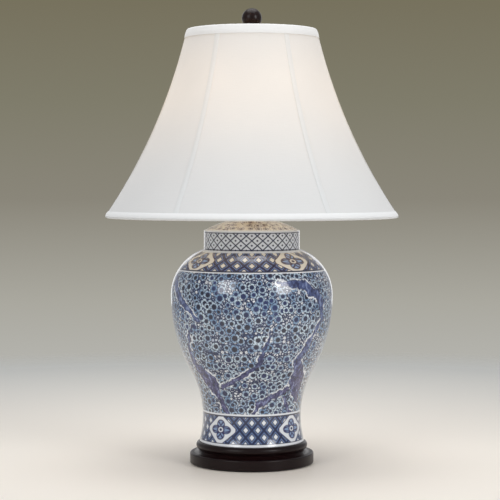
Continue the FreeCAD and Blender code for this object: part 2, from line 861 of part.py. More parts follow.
def socket_body():
    """The switch block: round, with a flat on each side for a terminal, and a hole for the stem."""
    body = new_body("socket_body")
    flat = cell.socket_body_half_width
    corner = leg(insulator_inside, flat)
    block = new_sketch(body, "outline", "XY_Plane", cell.socket_body_foot)
    draw(block, [
        (flat, -corner), (flat, corner), Arc(insulator_inside),
        (-flat, corner), (-flat, -corner), Arc(insulator_inside),
    ])
    pad(body, "block", block, cell.socket_body_top - cell.socket_body_foot)
    stem_circle = new_sketch(body, "stem_circle", "XZ_Plane", cell.switch_stem_inner)
    draw_circle(stem_circle, cell.switch_stem_radius + cell.switch_stem_play, ZERO, cell.switch_height)
    pocket(body, "stem_hole", stem_circle, insulator_inside, reverse=True)
    terminal_circle = new_sketch(body, "terminal_circle", "YZ_Plane", flat)
    draw_circle(terminal_circle, cell.terminal_screw_shank_radius, ZERO, cell.terminal_screw_height)
    hole = pocket(body, "terminal_hole", terminal_circle, cell.terminal_screw_depth)
    mirror(body, [hole])
    place(body, socket_z)


def terminal_screws():
    """Two binding screws, one on each flat of the switch block."""
    body = new_body("terminal_screws")
    flat = cell.socket_body_half_width
    shank_circle = new_sketch(body, "shank_circle", "YZ_Plane", flat - cell.terminal_screw_depth)
    draw_circle(shank_circle, cell.terminal_screw_shank_radius)
    shank = pad(body, "shank", shank_circle, cell.terminal_screw_depth + cell.terminal_screw_head)
    head_circle = new_sketch(body, "head_circle", "YZ_Plane", flat)
    draw_circle(head_circle, cell.terminal_screw_radius)
    head = pad(body, "head", head_circle, cell.terminal_screw_head)
    mirror(body, [shank, head])
    place(body, socket_z + cell.terminal_screw_height)


def socket_set_screw():
    """The headless screw that stops the socket from turning on the rod, at the back of the cap's hub."""
    crosswise("socket_set_screw", rectangle(ZERO, ZERO, cell.set_screw_radius, cell.set_screw_length),
              cell.rod_radius, socket_z + cell.set_screw_height, about_y=1.0)


def switch():
    """The stem and its knob, which turn together and point to the front."""
    height = socket_z + cell.switch_height
    stem_length = cell.switch_stem_outer - cell.switch_stem_inner
    crosswise("switch_stem", rectangle(ZERO, ZERO, cell.switch_stem_radius, stem_length),
              -cell.switch_stem_inner, height)
    length = cell.switch_knob_outer - cell.switch_knob_inner
    socket_depth = cell.switch_stem_outer - cell.switch_knob_inner
    tip_length = cell.switch_knob_radius - cell.switch_knob_tip_radius
    crosswise("switch_knob", [
        (cell.switch_stem_radius, ZERO),
        (cell.switch_knob_tip_radius, ZERO),
        (cell.switch_knob_radius, tip_length),
        (cell.switch_knob_radius, length - tip_length),
        Arc(tip_length),
        (cell.switch_knob_tip_radius, length),
        (ZERO, length),
        (ZERO, socket_depth),
        (cell.switch_stem_radius, socket_depth),
    ], -cell.switch_knob_inner, height)


# Bulb, heights from its lowest point ----------------------------------------------------------------

def bulb():
    bulb_z = socket_z + cell.socket_body_top + cell.socket_contact_thickness
    insulator_z = cell.bulb_contact_height
    cap_foot = insulator_z + cell.bulb_insulator_height
    cap_top = cap_foot + cell.bulb_cap_length
    ring("bulb_contact", ZERO, cell.bulb_contact_radius, cell.bulb_contact_height, bulb_z)
    turned("bulb_insulator", [
        (ZERO, insulator_z),
        (cell.bulb_insulator_foot, insulator_z),
        (cell.bulb_cap_radius - cell.bulb_cap_wall, cap_foot),
        (ZERO, cap_foot),
    ], bulb_z)
    cap_inside = cell.bulb_cap_radius - cell.bulb_cap_wall
    turned("bulb_cap", rectangle(cap_inside, cap_foot, cell.bulb_cap_radius, cap_top), bulb_z)

    # The neck's hollow arc passes into the ball.
    ball = cell.bulb_ball_radius
    neck = cell.bulb_neck_radius
    wall = cell.bulb_glass_wall
    ball_z = cell.bulb_length - ball
    drop = ball_z - cell.bulb_neck_height
    neck_arc = (neck * neck + drop * drop - ball * ball) / ((ball - neck) * 2)
    out = ball / (ball + neck_arc)
    out_inside = (ball - wall) / (ball + neck_arc)
    seat_inside = cap_inside - wall
    turned("bulb_glass", [
        (seat_inside, cap_foot),
        (cap_inside, cap_foot),
        (cap_inside, cap_top),
        (neck, cap_top + (neck - cap_inside)),
        (neck, cell.bulb_neck_height),
        Arc(neck_arc, hollow=True),
        ((neck + neck_arc) * out, ball_z - drop * out),
        Arc(ball),
        (ball, ball_z),
        Arc(ball),
        (ZERO, cell.bulb_length),
        (ZERO, cell.bulb_length - wall),
        Arc(ball - wall, hollow=True),
        (ball - wall, ball_z),
        Arc(ball - wall, hollow=True),
        ((neck + neck_arc) * out_inside, ball_z - drop * out_inside),
        Arc(neck_arc + wall),
        (neck - wall, cell.bulb_neck_height),
        (neck - wall, cap_top + (neck - cap_inside) + wall),
        (seat_inside, cap_top + wall),
    ], bulb_z)


# Shade, heights from its lower edge -----------------------------------------------------------------

# Seen from the side, a seam is one arc, hollow towards the outside, from the lower edge to the upper.
seam_dx = cell.shade_bottom_radius - cell.shade_top_radius
seam_chord = root(seam_dx * seam_dx + cell.shade_height * cell.shade_height)
seam_reach = leg(cell.shade_flare_arc, seam_chord / 2)
seam_x = (cell.shade_bottom_radius + cell.shade_top_radius) / 2 + cell.shade_height / seam_chord * seam_reach
seam_z = cell.shade_height / 2 + seam_dx / seam_chord * seam_reach


def flare(z, inset=ZERO):
    """The radius of the seam's arc at a height, at a depth below the cloth's outside."""
    return seam_x - leg(cell.shade_flare_arc + inset, seam_z - z)


wire_inset = cell.shade_cover_thickness + cell.shade_wire_play + cell.shade_wire_radius
lining_inset = wire_inset + cell.shade_wire_radius + cell.shade_wire_play
inner_inset = lining_inset + cell.shade_lining_thickness
cloth_foot = cell.shade_binding_thickness
cloth_top = cell.shade_height - cell.shade_binding_thickness
top_ring_z = cloth_top - cell.shade_wire_radius
bottom_ring_z = cloth_foot + cell.shade_wire_radius


def panel_sector(body, inset, thickness):
    """A sixth of a bell of cloth: its sides follow the seams, and it lies flatter between them.

    It is round under the two bindings, and flattest half way up.
    """
    half = as_size(SIXTH_TURN / 2)
    low = cell.shade_bottom_binding_height
    high = cell.shade_height - cell.shade_top_binding_height
    levels = [(cloth_foot, 0.0)]
    for step in range(SECTION_COUNT):
        share = step / (SECTION_COUNT - 1)
        levels.append((low + (high - low) * share, (4 * share * (1 - share)) ** 2))
    levels.append((cloth_top, 0.0))
    sections = []
    for z, slack in levels:
        sag = cell.shade_flatness * slack * (as_size(1) - cosine(half))
        outer = flare(z, inset)
        inner = flare(z, inset + thickness)
        pull = flare(z) * sag
        arcs = []
        for radius in (outer, inner):
            rise = radius - pull - radius * cosine(half)
            half_chord = radius * sine(half)
            arcs.append((half_chord * half_chord + rise * rise) / (rise * 2))
        sketch = new_sketch(body, f"section_{len(sections)}", "XY_Plane", z)
        draw(sketch, [
            (outer * cosine(half), -(outer * sine(half))),
            Arc(arcs[0]),
            (outer * cosine(half), outer * sine(half)),
            (inner * cosine(half), inner * sine(half)),
            Arc(arcs[1], hollow=True),
            (inner * cosine(half), -(inner * sine(half))),
        ])
        sections.append(sketch)
    loft = body.newObject("PartDesign::AdditiveLoft", f"{body.Label}_loft")
    loft.Profile = sections[0]
    loft.Sections = sections[1:]
    return loft


def seam_turn(index):
    """The angle of a seam from +X: one faces half way between the front and the right."""
    return SIXTH_TURN * index


def shade_panels():
    for index in range(RIB_COUNT):
        body = new_body(f"shade_panel_{index + 1}")
        panel_sector(body, ZERO, cell.shade_cover_thickness)
        place(body, shade_z, seam_turn(index) + SIXTH_TURN / 2)


def arm_passages(body):
    """Cuts the gaps that let the spider's arms through to the upper hoop. One lies along local +Y."""
    radius = cell.spider_arm_radius + cell.spider_arm_play
    circle = new_sketch(body, "arm_circle", "XZ_Plane")
    draw_circle(circle, radius, ZERO, top_ring_z)
    gap = pocket(body, "arm_gap", circle, flare(top_ring_z, wire_inset))
    repeat_around(body, gap, ARM_COUNT)


def shade_lining():
    """One lining of the same six shapes, inside the wires."""
    body = new_body("shade_lining")
    repeat_around(body, panel_sector(body, lining_inset, cell.shade_lining_thickness), RIB_COUNT)
    arm_passages(body)
    place(body, shade_z, SIXTH_TURN / 2)


def shade_ring(label, z):
    """A hoop of wire inside the cloth."""
    body = new_body(label)
    section = new_sketch(body, "section", "XZ_Plane")
    draw_circle(section, cell.shade_wire_radius, flare(z, wire_inset), z)
    hoop = body.newObject("PartDesign::Revolution", f"{label}_hoop")
    hoop.Profile = section
    hoop.ReferenceAxis = (section, ["V_Axis"])
    hoop.Angle = 360
    place(body, shade_z)


def rib_end(z, way):
    """The rib's end, where it butts against the hoop at height z: way is 1 above the hoop, -1 below."""
    upright = (seam_x - flare(z, wire_inset)) / (cell.shade_flare_arc + wire_inset)
    end_z = z + cell.shade_wire_radius * upright * way
    return flare(end_z, wire_inset), end_z


def shade_ribs():
    """A bent wire under each seam, welded to the two hoops."""
    for index in range(RIB_COUNT):
        body, route = wire(f"shade_rib_{index + 1}", [
            rib_end(bottom_ring_z, 1),
            Arc(cell.shade_flare_arc + wire_inset, hollow=True),
            rib_end(top_ring_z, -1),
        ])
        sweep(body, route, cell.shade_wire_radius)
        place(body, shade_z, seam_turn(index))


def shade_spider():
    """The hub that sits on the stud, with an arm to the upper hoop at every other seam."""
    body = new_body("shade_spider")
    hub_foot = cell.shade_height - cell.spider_drop
    hub_top = hub_foot + cell.spider_hub_thickness
    hub_hole = cell.stud_thread_radius + cell.stud_thread_play
    revolve(body, "hub", rectangle(hub_hole, hub_foot, cell.spider_hub_radius, hub_top))
    arm_z = hub_foot + cell.spider_hub_thickness / 2
    route = new_sketch(body, "path", "XZ_Plane")
    reach = flare(top_ring_z, wire_inset)
    start = cell.spider_hub_radius - cell.spider_arm_radius
    length = root((reach - start) * (reach - start) + (top_ring_z - arm_z) * (top_ring_z - arm_z))
    share = as_size(1) - cell.shade_wire_radius / length
    end = (start + (reach - start) * share, arm_z + (top_ring_z - arm_z) * share)
    draw(route, [(start, arm_z), end], closed=False)
    repeat_around(body, sweep(body, route, cell.spider_arm_radius), ARM_COUNT)
    place(body, shade_z, seam_turn(0))


def binding_leg(z_from, z_to, depth):
    """Two ends of an arc along the cloth, at a depth below the cloth's outside."""
    return (flare(z_from, depth), z_from), (flare(z_to, depth), z_to)


def shade_bindings():
    """A strip of cloth folded over each edge, outside and inside."""
    outside = -(cell.shade_binding_play + cell.shade_binding_thickness)
    over = -cell.shade_binding_play
    under = inner_inset + cell.shade_binding_play
    inside = under + cell.shade_binding_thickness
    arc = cell.shade_flare_arc
    top = cell.shade_height
    outer_foot = top - cell.shade_top_binding_height
    inner_foot = top - cell.shade_binding_inner_height
    a, b = binding_leg(outer_foot, top, outside)
    c, d = binding_leg(inner_foot, top, inside)
    e, f = binding_leg(inner_foot, cloth_top, under)
    g, k = binding_leg(outer_foot, cloth_top, over)
    upper = new_body("shade_top_binding")
    revolve(upper, "fold", [
        a, Arc(arc + outside, hollow=True), b,
        d, Arc(arc + inside), c,
        e, Arc(arc + under, hollow=True), f,
        k, Arc(arc + over), g,
    ])
    arm_passages(upper)
    place(upper, shade_z, SIXTH_TURN / 2)
    a, b = binding_leg(ZERO, cell.shade_bottom_binding_height, outside)
    c, d = binding_leg(ZERO, cell.shade_binding_inner_height, inside)
    e, f = binding_leg(cloth_foot, cell.shade_binding_inner_height, under)
    g, k = binding_leg(cloth_foot, cell.shade_bottom_binding_height, over)
    turned("shade_bottom_binding", [
        a, Arc(arc + outside, hollow=True), b,
        k, Arc(arc + over), g,
        e, Arc(arc + under, hollow=True), f,
        d, Arc(arc + inside), c,
    ], shade_z)


def shade_seam_braids():
    """A flat braid over each seam, from one binding to the other."""
    low = cell.shade_bottom_binding_height + cell.shade_braid_gap
    high = cell.shade_height - cell.shade_top_binding_height - cell.shade_braid_gap
    under = -cell.shade_binding_play
    over = under - cell.shade_braid_thickness
    for index in range(RIB_COUNT):
        body = new_body(f"shade_seam_braid_{index + 1}")
        side = new_sketch(body, "side", "XZ_Plane")
        draw(side, [
            (flare(low, under), low),
            (flare(low, over), low),
            Arc(cell.shade_flare_arc + over, hollow=True),
            (flare(high, over), high),
            (flare(high, under), high),
            Arc(cell.shade_flare_arc + under),
        ])
        pad(body, "pad", side, cell.shade_braid_width, both_ways=True)
        place(body, shade_z, seam_turn(index))


# Finial, heights from the hub's top -------------------------------------------------------------------

def finial():
    """A threaded insert in a turned base, with a ball on top."""
    bore = cell.stud_thread_radius + cell.stud_thread_play
    insert = cell.finial_insert_radius
    depth = cell.finial_insert_length
    socket = insert + cell.finial_insert_play
    hollow = cell.stud_thread_above_hub + cell.stud_thread_play
    turned("finial_insert", [
        (bore, ZERO), (insert, ZERO), (insert, depth), (ZERO, depth), (ZERO, hollow), (bore, hollow),
    ], finial_z)
    ball = cell.finial_ball_radius
    ball_z = cell.finial_ball_height
    neck_top = ball_z - leg(ball, cell.finial_flat_radius)
    rounded = cell.finial_base_height / 2
    turned("finial_base", [
        (socket, ZERO),
        (cell.finial_base_radius, ZERO),
        Arc(rounded),
        (cell.finial_base_radius, cell.finial_base_side),
        (cell.finial_waist_radius, cell.finial_base_height),
        Arc(cell.finial_base_height, hollow=True),
        (cell.finial_flat_radius, neck_top),
        (socket, neck_top),
    ], finial_z)
    turned("finial_ball", [
        (socket, neck_top),
        (cell.finial_flat_radius, neck_top),
        Arc(ball),
        (ball, ball_z),
        Arc(ball),
        (ZERO, ball_z + ball),
        (ZERO, depth),
        (socket, depth),
    ], finial_z)


# The lamp -------------------------------------------------------------------------------------------

felt_pad()
wood_base()
cord_bushing()
threaded_rod(base_fasteners())
jar()
lid()
rod_trim()
harp_saddle()
socket_metal()
socket_inside()
socket_body()
terminal_screws()
socket_set_screw()
switch()
bulb()
harp()
harp_ferrule("harp_ferrule_left", -1)
harp_ferrule("harp_ferrule_right", 1)
harp_stud()
shade_spider()
shade_ring("shade_top_ring", top_ring_z)
shade_ring("shade_bottom_ring", bottom_ring_z)
shade_ribs()
shade_panels()
shade_lining()
shade_bindings()
shade_seam_braids()
finial()

doc.recompute()
for thing in doc.Objects:
    if {"Invalid", "Error"} & set(thing.State):
        raise RuntimeError(f"{thing.Label} failed: {thing.State}")
for piece in pieces:
    if piece.Shape.isNull() or not piece.Shape.isValid():
        raise RuntimeError(f"{piece.Label} has no valid shape")
for piece in pieces:
    piece.Shape.exportStep(f"parts/{piece.Label}.step")
    box = piece.Shape.BoundBox
    print(f"{piece.Label:24s} {len(piece.Shape.Solids)} solid  volume {piece.Shape.Volume / 1000:9.2f} cm3  "
          f"x {box.XMin:7.1f} {box.XMax:7.1f}  y {box.YMin:7.1f} {box.YMax:7.1f}  z {box.ZMin:7.1f} {box.ZMax:7.1f}")
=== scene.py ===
# %% [markdown]
# # A ginger jar table lamp, dressed in Blender
#
# The lamp is a blue and white porcelain jar with a lid, on a turned wooden base, under a bell of six cloth
# panels. Its hard pieces come from a CAD model and keep their shapes: this lesson gives them finishes, makes the
# cloth anew, and lights the lamp in a plain studio. Lengths are in metres, heights are above the table, and the
# front of the lamp looks along -Y.

# %% Load the frame
import math

import bpy
import numpy
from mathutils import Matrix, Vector


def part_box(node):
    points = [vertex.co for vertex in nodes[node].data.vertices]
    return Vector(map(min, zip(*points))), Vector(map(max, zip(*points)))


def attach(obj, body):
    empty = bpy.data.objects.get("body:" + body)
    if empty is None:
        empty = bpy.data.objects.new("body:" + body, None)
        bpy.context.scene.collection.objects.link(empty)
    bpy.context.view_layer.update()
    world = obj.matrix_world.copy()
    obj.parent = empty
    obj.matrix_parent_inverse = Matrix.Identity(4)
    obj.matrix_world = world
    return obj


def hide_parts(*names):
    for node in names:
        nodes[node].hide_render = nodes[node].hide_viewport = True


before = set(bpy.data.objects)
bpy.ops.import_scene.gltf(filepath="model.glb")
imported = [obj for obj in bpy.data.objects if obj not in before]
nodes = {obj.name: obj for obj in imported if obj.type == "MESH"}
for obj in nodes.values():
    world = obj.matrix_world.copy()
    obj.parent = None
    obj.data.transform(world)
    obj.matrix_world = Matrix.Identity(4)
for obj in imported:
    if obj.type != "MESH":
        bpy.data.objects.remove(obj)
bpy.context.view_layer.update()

# %% [markdown]
# ## A notebook for finishes
#
# A painted jar is a set of rules: "within 2 mm of this line, paint it blue". A shader can follow such rules if
# they are written as sums. Linking fifty Math nodes by hand is slow to read, so a small class adds a node for
# each `+` or `*` and lets a rule stand on one line. It is plain node work underneath, and every node can be seen
# in the Shader Editor afterwards.

# %% Numbers that turn into nodes


class Amount:
    """A number at each point of a surface, kept as the socket that gives it."""

    def __init__(self, finish, socket):
        self.finish = finish
        self.socket = socket

    def __add__(self, other):
        return self.finish.math("ADD", self, other)

    def __sub__(self, other):
        return self.finish.math("SUBTRACT", self, other)

    def __rsub__(self, other):
        return self.finish.math("SUBTRACT", other, self)

    def __mul__(self, other):
        return self.finish.math("MULTIPLY", self, other)

    def __truediv__(self, other):
        return self.finish.math("DIVIDE", self, other)

    __radd__ = __add__
    __rmul__ = __mul__


class Finish:
    """A material and the nodes that paint it."""

    def __init__(self, name):
        self.material = bpy.data.materials.new(name)
        self.material.use_nodes = True
        self.tree = self.material.node_tree
        self.surface = self.tree.nodes["Principled BSDF"]
        self.coordinates = self.node("ShaderNodeTexCoord")
        split = self.node("ShaderNodeSeparateXYZ")
        self.tree.links.new(self.coordinates.outputs["Object"], split.inputs[0])
        self.x, self.y, self.z = (Amount(self, socket) for socket in split.outputs)

    def node(self, kind, **settings):
        made = self.tree.nodes.new(kind)
        for key, value in settings.items():
            setattr(made, key, value)
        return made

    def put(self, value, socket):
        """Sets a socket, or links it if the value comes from a node."""
        if isinstance(value, Amount):
            self.tree.links.new(value.socket, socket)
        elif isinstance(value, bpy.types.NodeSocket):
            self.tree.links.new(value, socket)
        else:
            socket.default_value = value

    def math(self, operation, *values, clamp=False):
        made = self.node("ShaderNodeMath", operation=operation, use_clamp=clamp)
        for value, socket in zip(values, made.inputs):
            self.put(value, socket)
        return Amount(self, made.outputs[0])

    def vector(self, *values):
        made = self.node("ShaderNodeCombineXYZ")
        for value, socket in zip(values, made.inputs):
            self.put(value, socket)
        return made.outputs[0]

    def vector_math(self, operation, *values):
        made = self.node("ShaderNodeVectorMath", operation=operation)
        for value, socket in zip(values, made.inputs):
            self.put(value, socket)
        return made

    def above(self, value, edge, softness=0.0006):
        """1 where the value is over the edge and 0 where it is under, with a soft step between."""
        return self.math("MULTIPLY_ADD", value, 1 / softness, 0.5 - edge / softness, clamp=True)

    def below(self, value, edge, softness=0.0006):
        return self.math("MULTIPLY_ADD", value, -1 / softness, 0.5 + edge / softness, clamp=True)

    def band(self, value, middle, half_width, softness=0.0006):
        return self.below(self.math("ABSOLUTE", value - middle), half_width, softness)

    def noise(self, size, detail=2.0, place=None, roughness=0.5):
        """Cloudy variation from 0 to 1, with lumps about as wide as the size."""
        made = self.node("ShaderNodeTexNoise")
        self.put(place or self.coordinates.outputs["Object"], made.inputs["Vector"])
        made.inputs["Scale"].default_value = 1 / size
        made.inputs["Detail"].default_value = detail
        made.inputs["Roughness"].default_value = roughness
        return Amount(self, made.outputs[0])

    def mix(self, share, under, over):
        """A colour laid over another one, by the share."""
        made = self.node("ShaderNodeMix", data_type="RGBA")
        self.put(share, made.inputs[0])
        self.put(under, made.inputs[6])
        self.put(over, made.inputs[7])
        return made.outputs[2]

    def bump(self, height, depth):
        made = self.node("ShaderNodeBump")
        made.inputs["Distance"].default_value = depth
        self.put(height, made.inputs["Height"])
        self.tree.links.new(made.outputs[0], self.surface.inputs["Normal"])

    def set(self, **values):
        """Sets the shader's own sockets: base_color becomes Base Color."""
        names = {name.lower().replace(" ", "_"): name for name in self.surface.inputs.keys()}
        for key, value in values.items():
            self.put(value, self.surface.inputs[names[key]])


def tint(red, green, blue):
    """A colour as it looks on a screen, 0 to 255, as the light that a shader works in."""
    light = [(c / 255 / 12.92 if c <= 10 else ((c / 255 + 0.055) / 1.055) ** 2.4) for c in (red, green, blue)]
    return (*light, 1.0)


print("white:", tint(255, 255, 255), "mid grey:", round(tint(128, 128, 128)[0], 3))

# %% [markdown]
# ## What the painter measured
#
# The painting runs round a body of revolution, so each mark is placed by three measures: the turn round the
# jar from its front, the height, and how far one turn is at that height. A jar painter marks rows with a wheel
# and divides each row into whole parts, so that the last flower meets the first. The same is done here: the
# radius is read from the model at a few heights, and a short polynomial gives it to the shader.

# %% Measure the jar


def radii_of(name, heights):
    """The outside radius of a turned piece at some heights, from its mesh."""
    points = numpy.array([vertex.co[:] for vertex in nodes[name].data.vertices])
    across = numpy.hypot(points[:, 0], points[:, 1])
    found = []
    for height in heights:
        near = numpy.argsort(numpy.abs(points[:, 2] - height))[:200]
        close = near[numpy.abs(points[near, 2] - height) < 0.008]
        found.append(across[close].max() if len(close) else numpy.nan)
    found = numpy.array(found)
    known = ~numpy.isnan(found)
    return numpy.interp(heights, numpy.array(heights)[known], found[known])


jar_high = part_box("jar")[1]
lid_low, lid_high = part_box("lid")
field_foot, field_top = 0.082, 0.306
field_heights = numpy.linspace(field_foot, field_top, 12)
field_radii = radii_of("jar", field_heights)
field_curve = numpy.polyfit(field_heights, field_radii, 3)
print("jar radii, mm:", (field_radii * 1000).round(1))


def field_radius(height):
    return float(numpy.polyval(field_curve, height))


# %% [markdown]
# ## The blossoms
#
# The jar carries prunus on cracked ice, an old pattern of plum blossom over broken lines. Each flower is five
# round petals with a dark heart. One flower could be modelled and scattered, but the paint lies under the glaze
# and has no height, so it belongs in the material. A rule draws one flower in one cell of a row; a random number
# for each cell then moves it, turns it and sizes it, and no two come out alike.

# %% A row of painted flowers


def turns_round(paint):
    """How far round the lamp a point is: 0 to 1 from the back, with the front at a half."""
    angle = paint.math("ARCTAN2", paint.x, paint.y * -1)
    return angle / math.tau + 0.5


def radius_here(paint):
    return paint.math("SQRT", paint.x * paint.x + paint.y * paint.y)


def flowers(paint, turns, up, stretch, first, step, rows, radius_at, size, seed, play=0.3, kept=1.0, eye=0.42):
    """One scatter of five-petalled flowers: the shares of petal, of outline and of heart at each point."""
    numbers = numpy.arange(rows)
    counts = [math.tau * radius_at(first + step * (n + 0.5)) / step for n in numbers]
    bend = [float(c) for c in numpy.polyfit(numbers, counts, 2)]
    level = (up - first) / step
    row = paint.math("FLOOR", level)
    cells = paint.math("ROUND", row * (row * bend[0] + bend[1]) + bend[2])
    along = turns * cells
    column = paint.math("FLOOR", along + paint.math("FRACT", row * 0.37 + seed * 0.21))
    inside = paint.math("FRACT", along + paint.math("FRACT", row * 0.37 + seed * 0.21))
    wrapped = paint.math("FLOORED_MODULO", column, cells)
    chance = paint.node("ShaderNodeTexWhiteNoise", noise_dimensions="3D")
    paint.put(paint.vector(wrapped, row, float(seed)), chance.inputs["Vector"])
    parts = paint.node("ShaderNodeSeparateColor")
    paint.put(chance.outputs["Color"], parts.inputs[0])
    red, green, blue = (Amount(paint, socket) for socket in parts.outputs)
    across = (inside - 0.5 + (red - 0.5) * play) * (radius_here(paint) * math.tau / cells)
    upward = (level - row - 0.5 + (green - 0.5) * play) * (stretch * step)
    distance = paint.math("SQRT", across * across + upward * upward)
    angle = paint.math("ARCTAN2", upward, across) + blue * math.tau
    lobe = paint.math("ABSOLUTE", paint.math("COSINE", angle * 2.5))
    own_size = (blue * 0.5 + 0.72) * size
    edge = (paint.math("SQRT", lobe) * 0.26 + 0.74) * own_size
    beyond = distance - edge
    there = paint.below(red, kept, 0.001)
    petal = paint.below(beyond, 0.0) * there
    outline = paint.band(beyond, 0.0001, 0.0004, 0.0004) * there
    split = paint.below(lobe, 0.3, 0.2) * petal
    heart = paint.below(distance / own_size - lobe * 0.12 - red * 0.12, eye - 0.06, 0.14) * there
    marks = paint.math("MAXIMUM", outline, split * 0.75)
    return petal, marks, heart


porcelain = tint(226, 230, 236)
ink = tint(22, 32, 66)
violet_ink = tint(50, 50, 92)
pale_wash = tint(128, 152, 190)
petal_white = tint(186, 200, 220)
# The porcelain as the bulb's warm light tints it under the shade: painted warm light, for the jar's shoulder and
# the lid's dome.
bulb_lit_porcelain = tint(220, 214, 202)


def lay_flowers(paint, under, scatter, petal_colour=petal_white, mark_colour=ink, heart_colour=ink):
    petal, marks, heart = scatter
    colour = paint.mix(petal, under, petal_colour)
    colour = paint.mix(marks, colour, mark_colour)
    return paint.mix(heart, colour, heart_colour)


# %% [markdown]
# ## Boughs and trellis
#
# Between the flowers run broad dark boughs, with a thread of white left along parts of them. A bough is drawn as
# a chain of straight strokes with round ends, which is how a loaded brush makes it, and noise bends the chain
# and frays its edge. The bands at shoulder and foot are a trellis of diamonds, one inside another: slanting
# coordinates make each diamond a square, and the distance from its middle says which ring of colour a point
# is in.

# %% Strokes and diamonds


def bough(paint, flat, stops):
    """Distance from a tapering stroke, less its width: below zero is inside the paint."""
    nearest = None
    for (x0, y0, w0), (x1, y1, w1) in zip(stops, stops[1:]):
        start, run = (x0, y0, 0.0), (x1 - x0, y1 - y0, 0.0)
        squared = run[0] ** 2 + run[1] ** 2
        away = paint.vector_math("SUBTRACT", flat, start).outputs[0]
        dot = Amount(paint, paint.vector_math("DOT_PRODUCT", away, run).outputs[1])
        share = paint.math("MULTIPLY", dot, 1 / squared, clamp=True)
        scaled = paint.node("ShaderNodeVectorMath", operation="SCALE")
        scaled.inputs[0].default_value = run
        paint.put(share, scaled.inputs["Scale"])
        rest = paint.vector_math("SUBTRACT", away, scaled.outputs[0]).outputs[0]
        length = Amount(paint, paint.vector_math("LENGTH", rest).outputs[1])
        stroke = length - (share * (w1 - w0) + w0)
        nearest = stroke if nearest is None else paint.math("MINIMUM", nearest, stroke)
    return nearest


def diamonds(paint, turns, level, count):
    """Distance from the middle of a diamond, 0 there and 1 at its sides, for a trellis of whole diamonds."""
    along = turns * count
    one = paint.math("FRACT", along + level)
    two = paint.math("FRACT", along - level)
    return paint.math("MAXIMUM", paint.math("ABSOLUTE", one - 0.5), paint.math("ABSOLUTE", two - 0.5)) * 2


def nested(paint, under, distance, middle=porcelain, line=ink):
    """Rings of blue and white inside each diamond of a trellis."""
    colour = paint.mix(paint.below(distance, 0.84, 0.1), line, under)
    colour = paint.mix(paint.below(distance, 0.7, 0.1), colour, pale_wash)
    colour = paint.mix(paint.below(distance, 0.6, 0.1), colour, line)
    return paint.mix(paint.below(distance, 0.4, 0.12), colour, middle)


def panels_round(paint, turns, count, first):
    """The angle from the middle of the nearest of some panels spaced evenly round, first in degrees from front."""
    place = paint.math("FRACT", turns * count + (0.5 - (first / 360 + 0.5) * count) % 1.0)
    return (place - 0.5) * (math.tau / count)


# %% [markdown]
# ## Porcelain under a glaze
#
# The clay is white and a little cold, the cobalt is painted on it, and clear glaze covers both. So the colour
# changes and the gloss doesn't: one smooth coat over everything, with a faint waviness that breaks up the
# reflections as hand work does.

# %% A glazed finish


def glaze(paint, colour):
    paint.set(base_color=colour, specular_ior_level=0.5, ior=1.5, coat_weight=0.8, coat_roughness=0.05)
    paint.set(roughness=paint.noise(0.03) * 0.06 + 0.16)
    paint.bump(paint.noise(0.035, 1.0), 0.0006)


def upright_share(paint):
    """How much longer the surface is than its rise in height."""
    split = paint.node("ShaderNodeSeparateXYZ")
    paint.put(paint.coordinates.outputs["Normal"], split.inputs[0])
    lean = Amount(paint, split.outputs[2])
    return paint.math("INVERSE_SQRT", paint.math("MAXIMUM", 1 - lean * lean, 0.2))


# %% The jar's painting, from the ground up
paint = Finish("painted_porcelain")
turns = turns_round(paint)
stretch = upright_share(paint)
drift = paint.noise(0.05, 2.0)
cracks = paint.node("ShaderNodeTexVoronoi", feature="DISTANCE_TO_EDGE")
cracks.inputs["Scale"].default_value = 230
paint.put(paint.coordinates.outputs["Object"], cracks.inputs["Vector"])
crack = Amount(paint, cracks.outputs["Distance"])
ground = paint.mix(paint.above(drift, 0.52, 0.3), porcelain, tint(90, 118, 156))
ground = paint.mix(paint.below(crack, 0.19, 0.16), ground, tint(24, 40, 78))

wander = paint.noise(0.02, 1.0)
lean_turn = paint.math("FRACT", turns * 2 + (100 / 180) % 1.0) * math.pi - math.radians(100)
flat = paint.vector(lean_turn * 0.11 + (wander - 0.5) * 0.012, paint.z + (drift - 0.5) * 0.016, 0.0)


def at(degrees, height, width):
    """A stop of a bough: degrees from the front, height and half width in millimetres."""
    return math.radians(degrees) * 0.11, height / 1000, width / 1000


boughs = [
    [at(-76, 296, 5), at(-57, 258, 5.5), at(-41, 229, 2.5)],
    [at(-46, 226, 1.5), at(-58, 190, 3), at(-56, 158, 8), at(-43, 132, 17)],
    [at(-43, 132, 13), at(-36, 108, 5), at(-26, 82, 2.5)],
    [at(14, 216, 1.5), at(7, 168, 3), at(-11, 142, 2.2), at(-30, 128, 3)],
    [at(18, 290, 2.5), at(40, 284, 6), at(56, 262, 6), at(59, 232, 4)],
    [at(60, 240, 3), at(50, 200, 4), at(40, 168, 5), at(49, 134, 18), at(58, 108, 7)],
    [at(44, 128, 4), at(24, 112, 4.5), at(8, 101, 5), at(1, 88, 2)],
    [at(37, 113, 2), at(49, 82, 4)],
]
reach = None
for stops in boughs:
    stroke = bough(paint, flat, stops)
    reach = stroke if reach is None else paint.math("MINIMUM", reach, stroke)
print("boughs:", len(boughs))

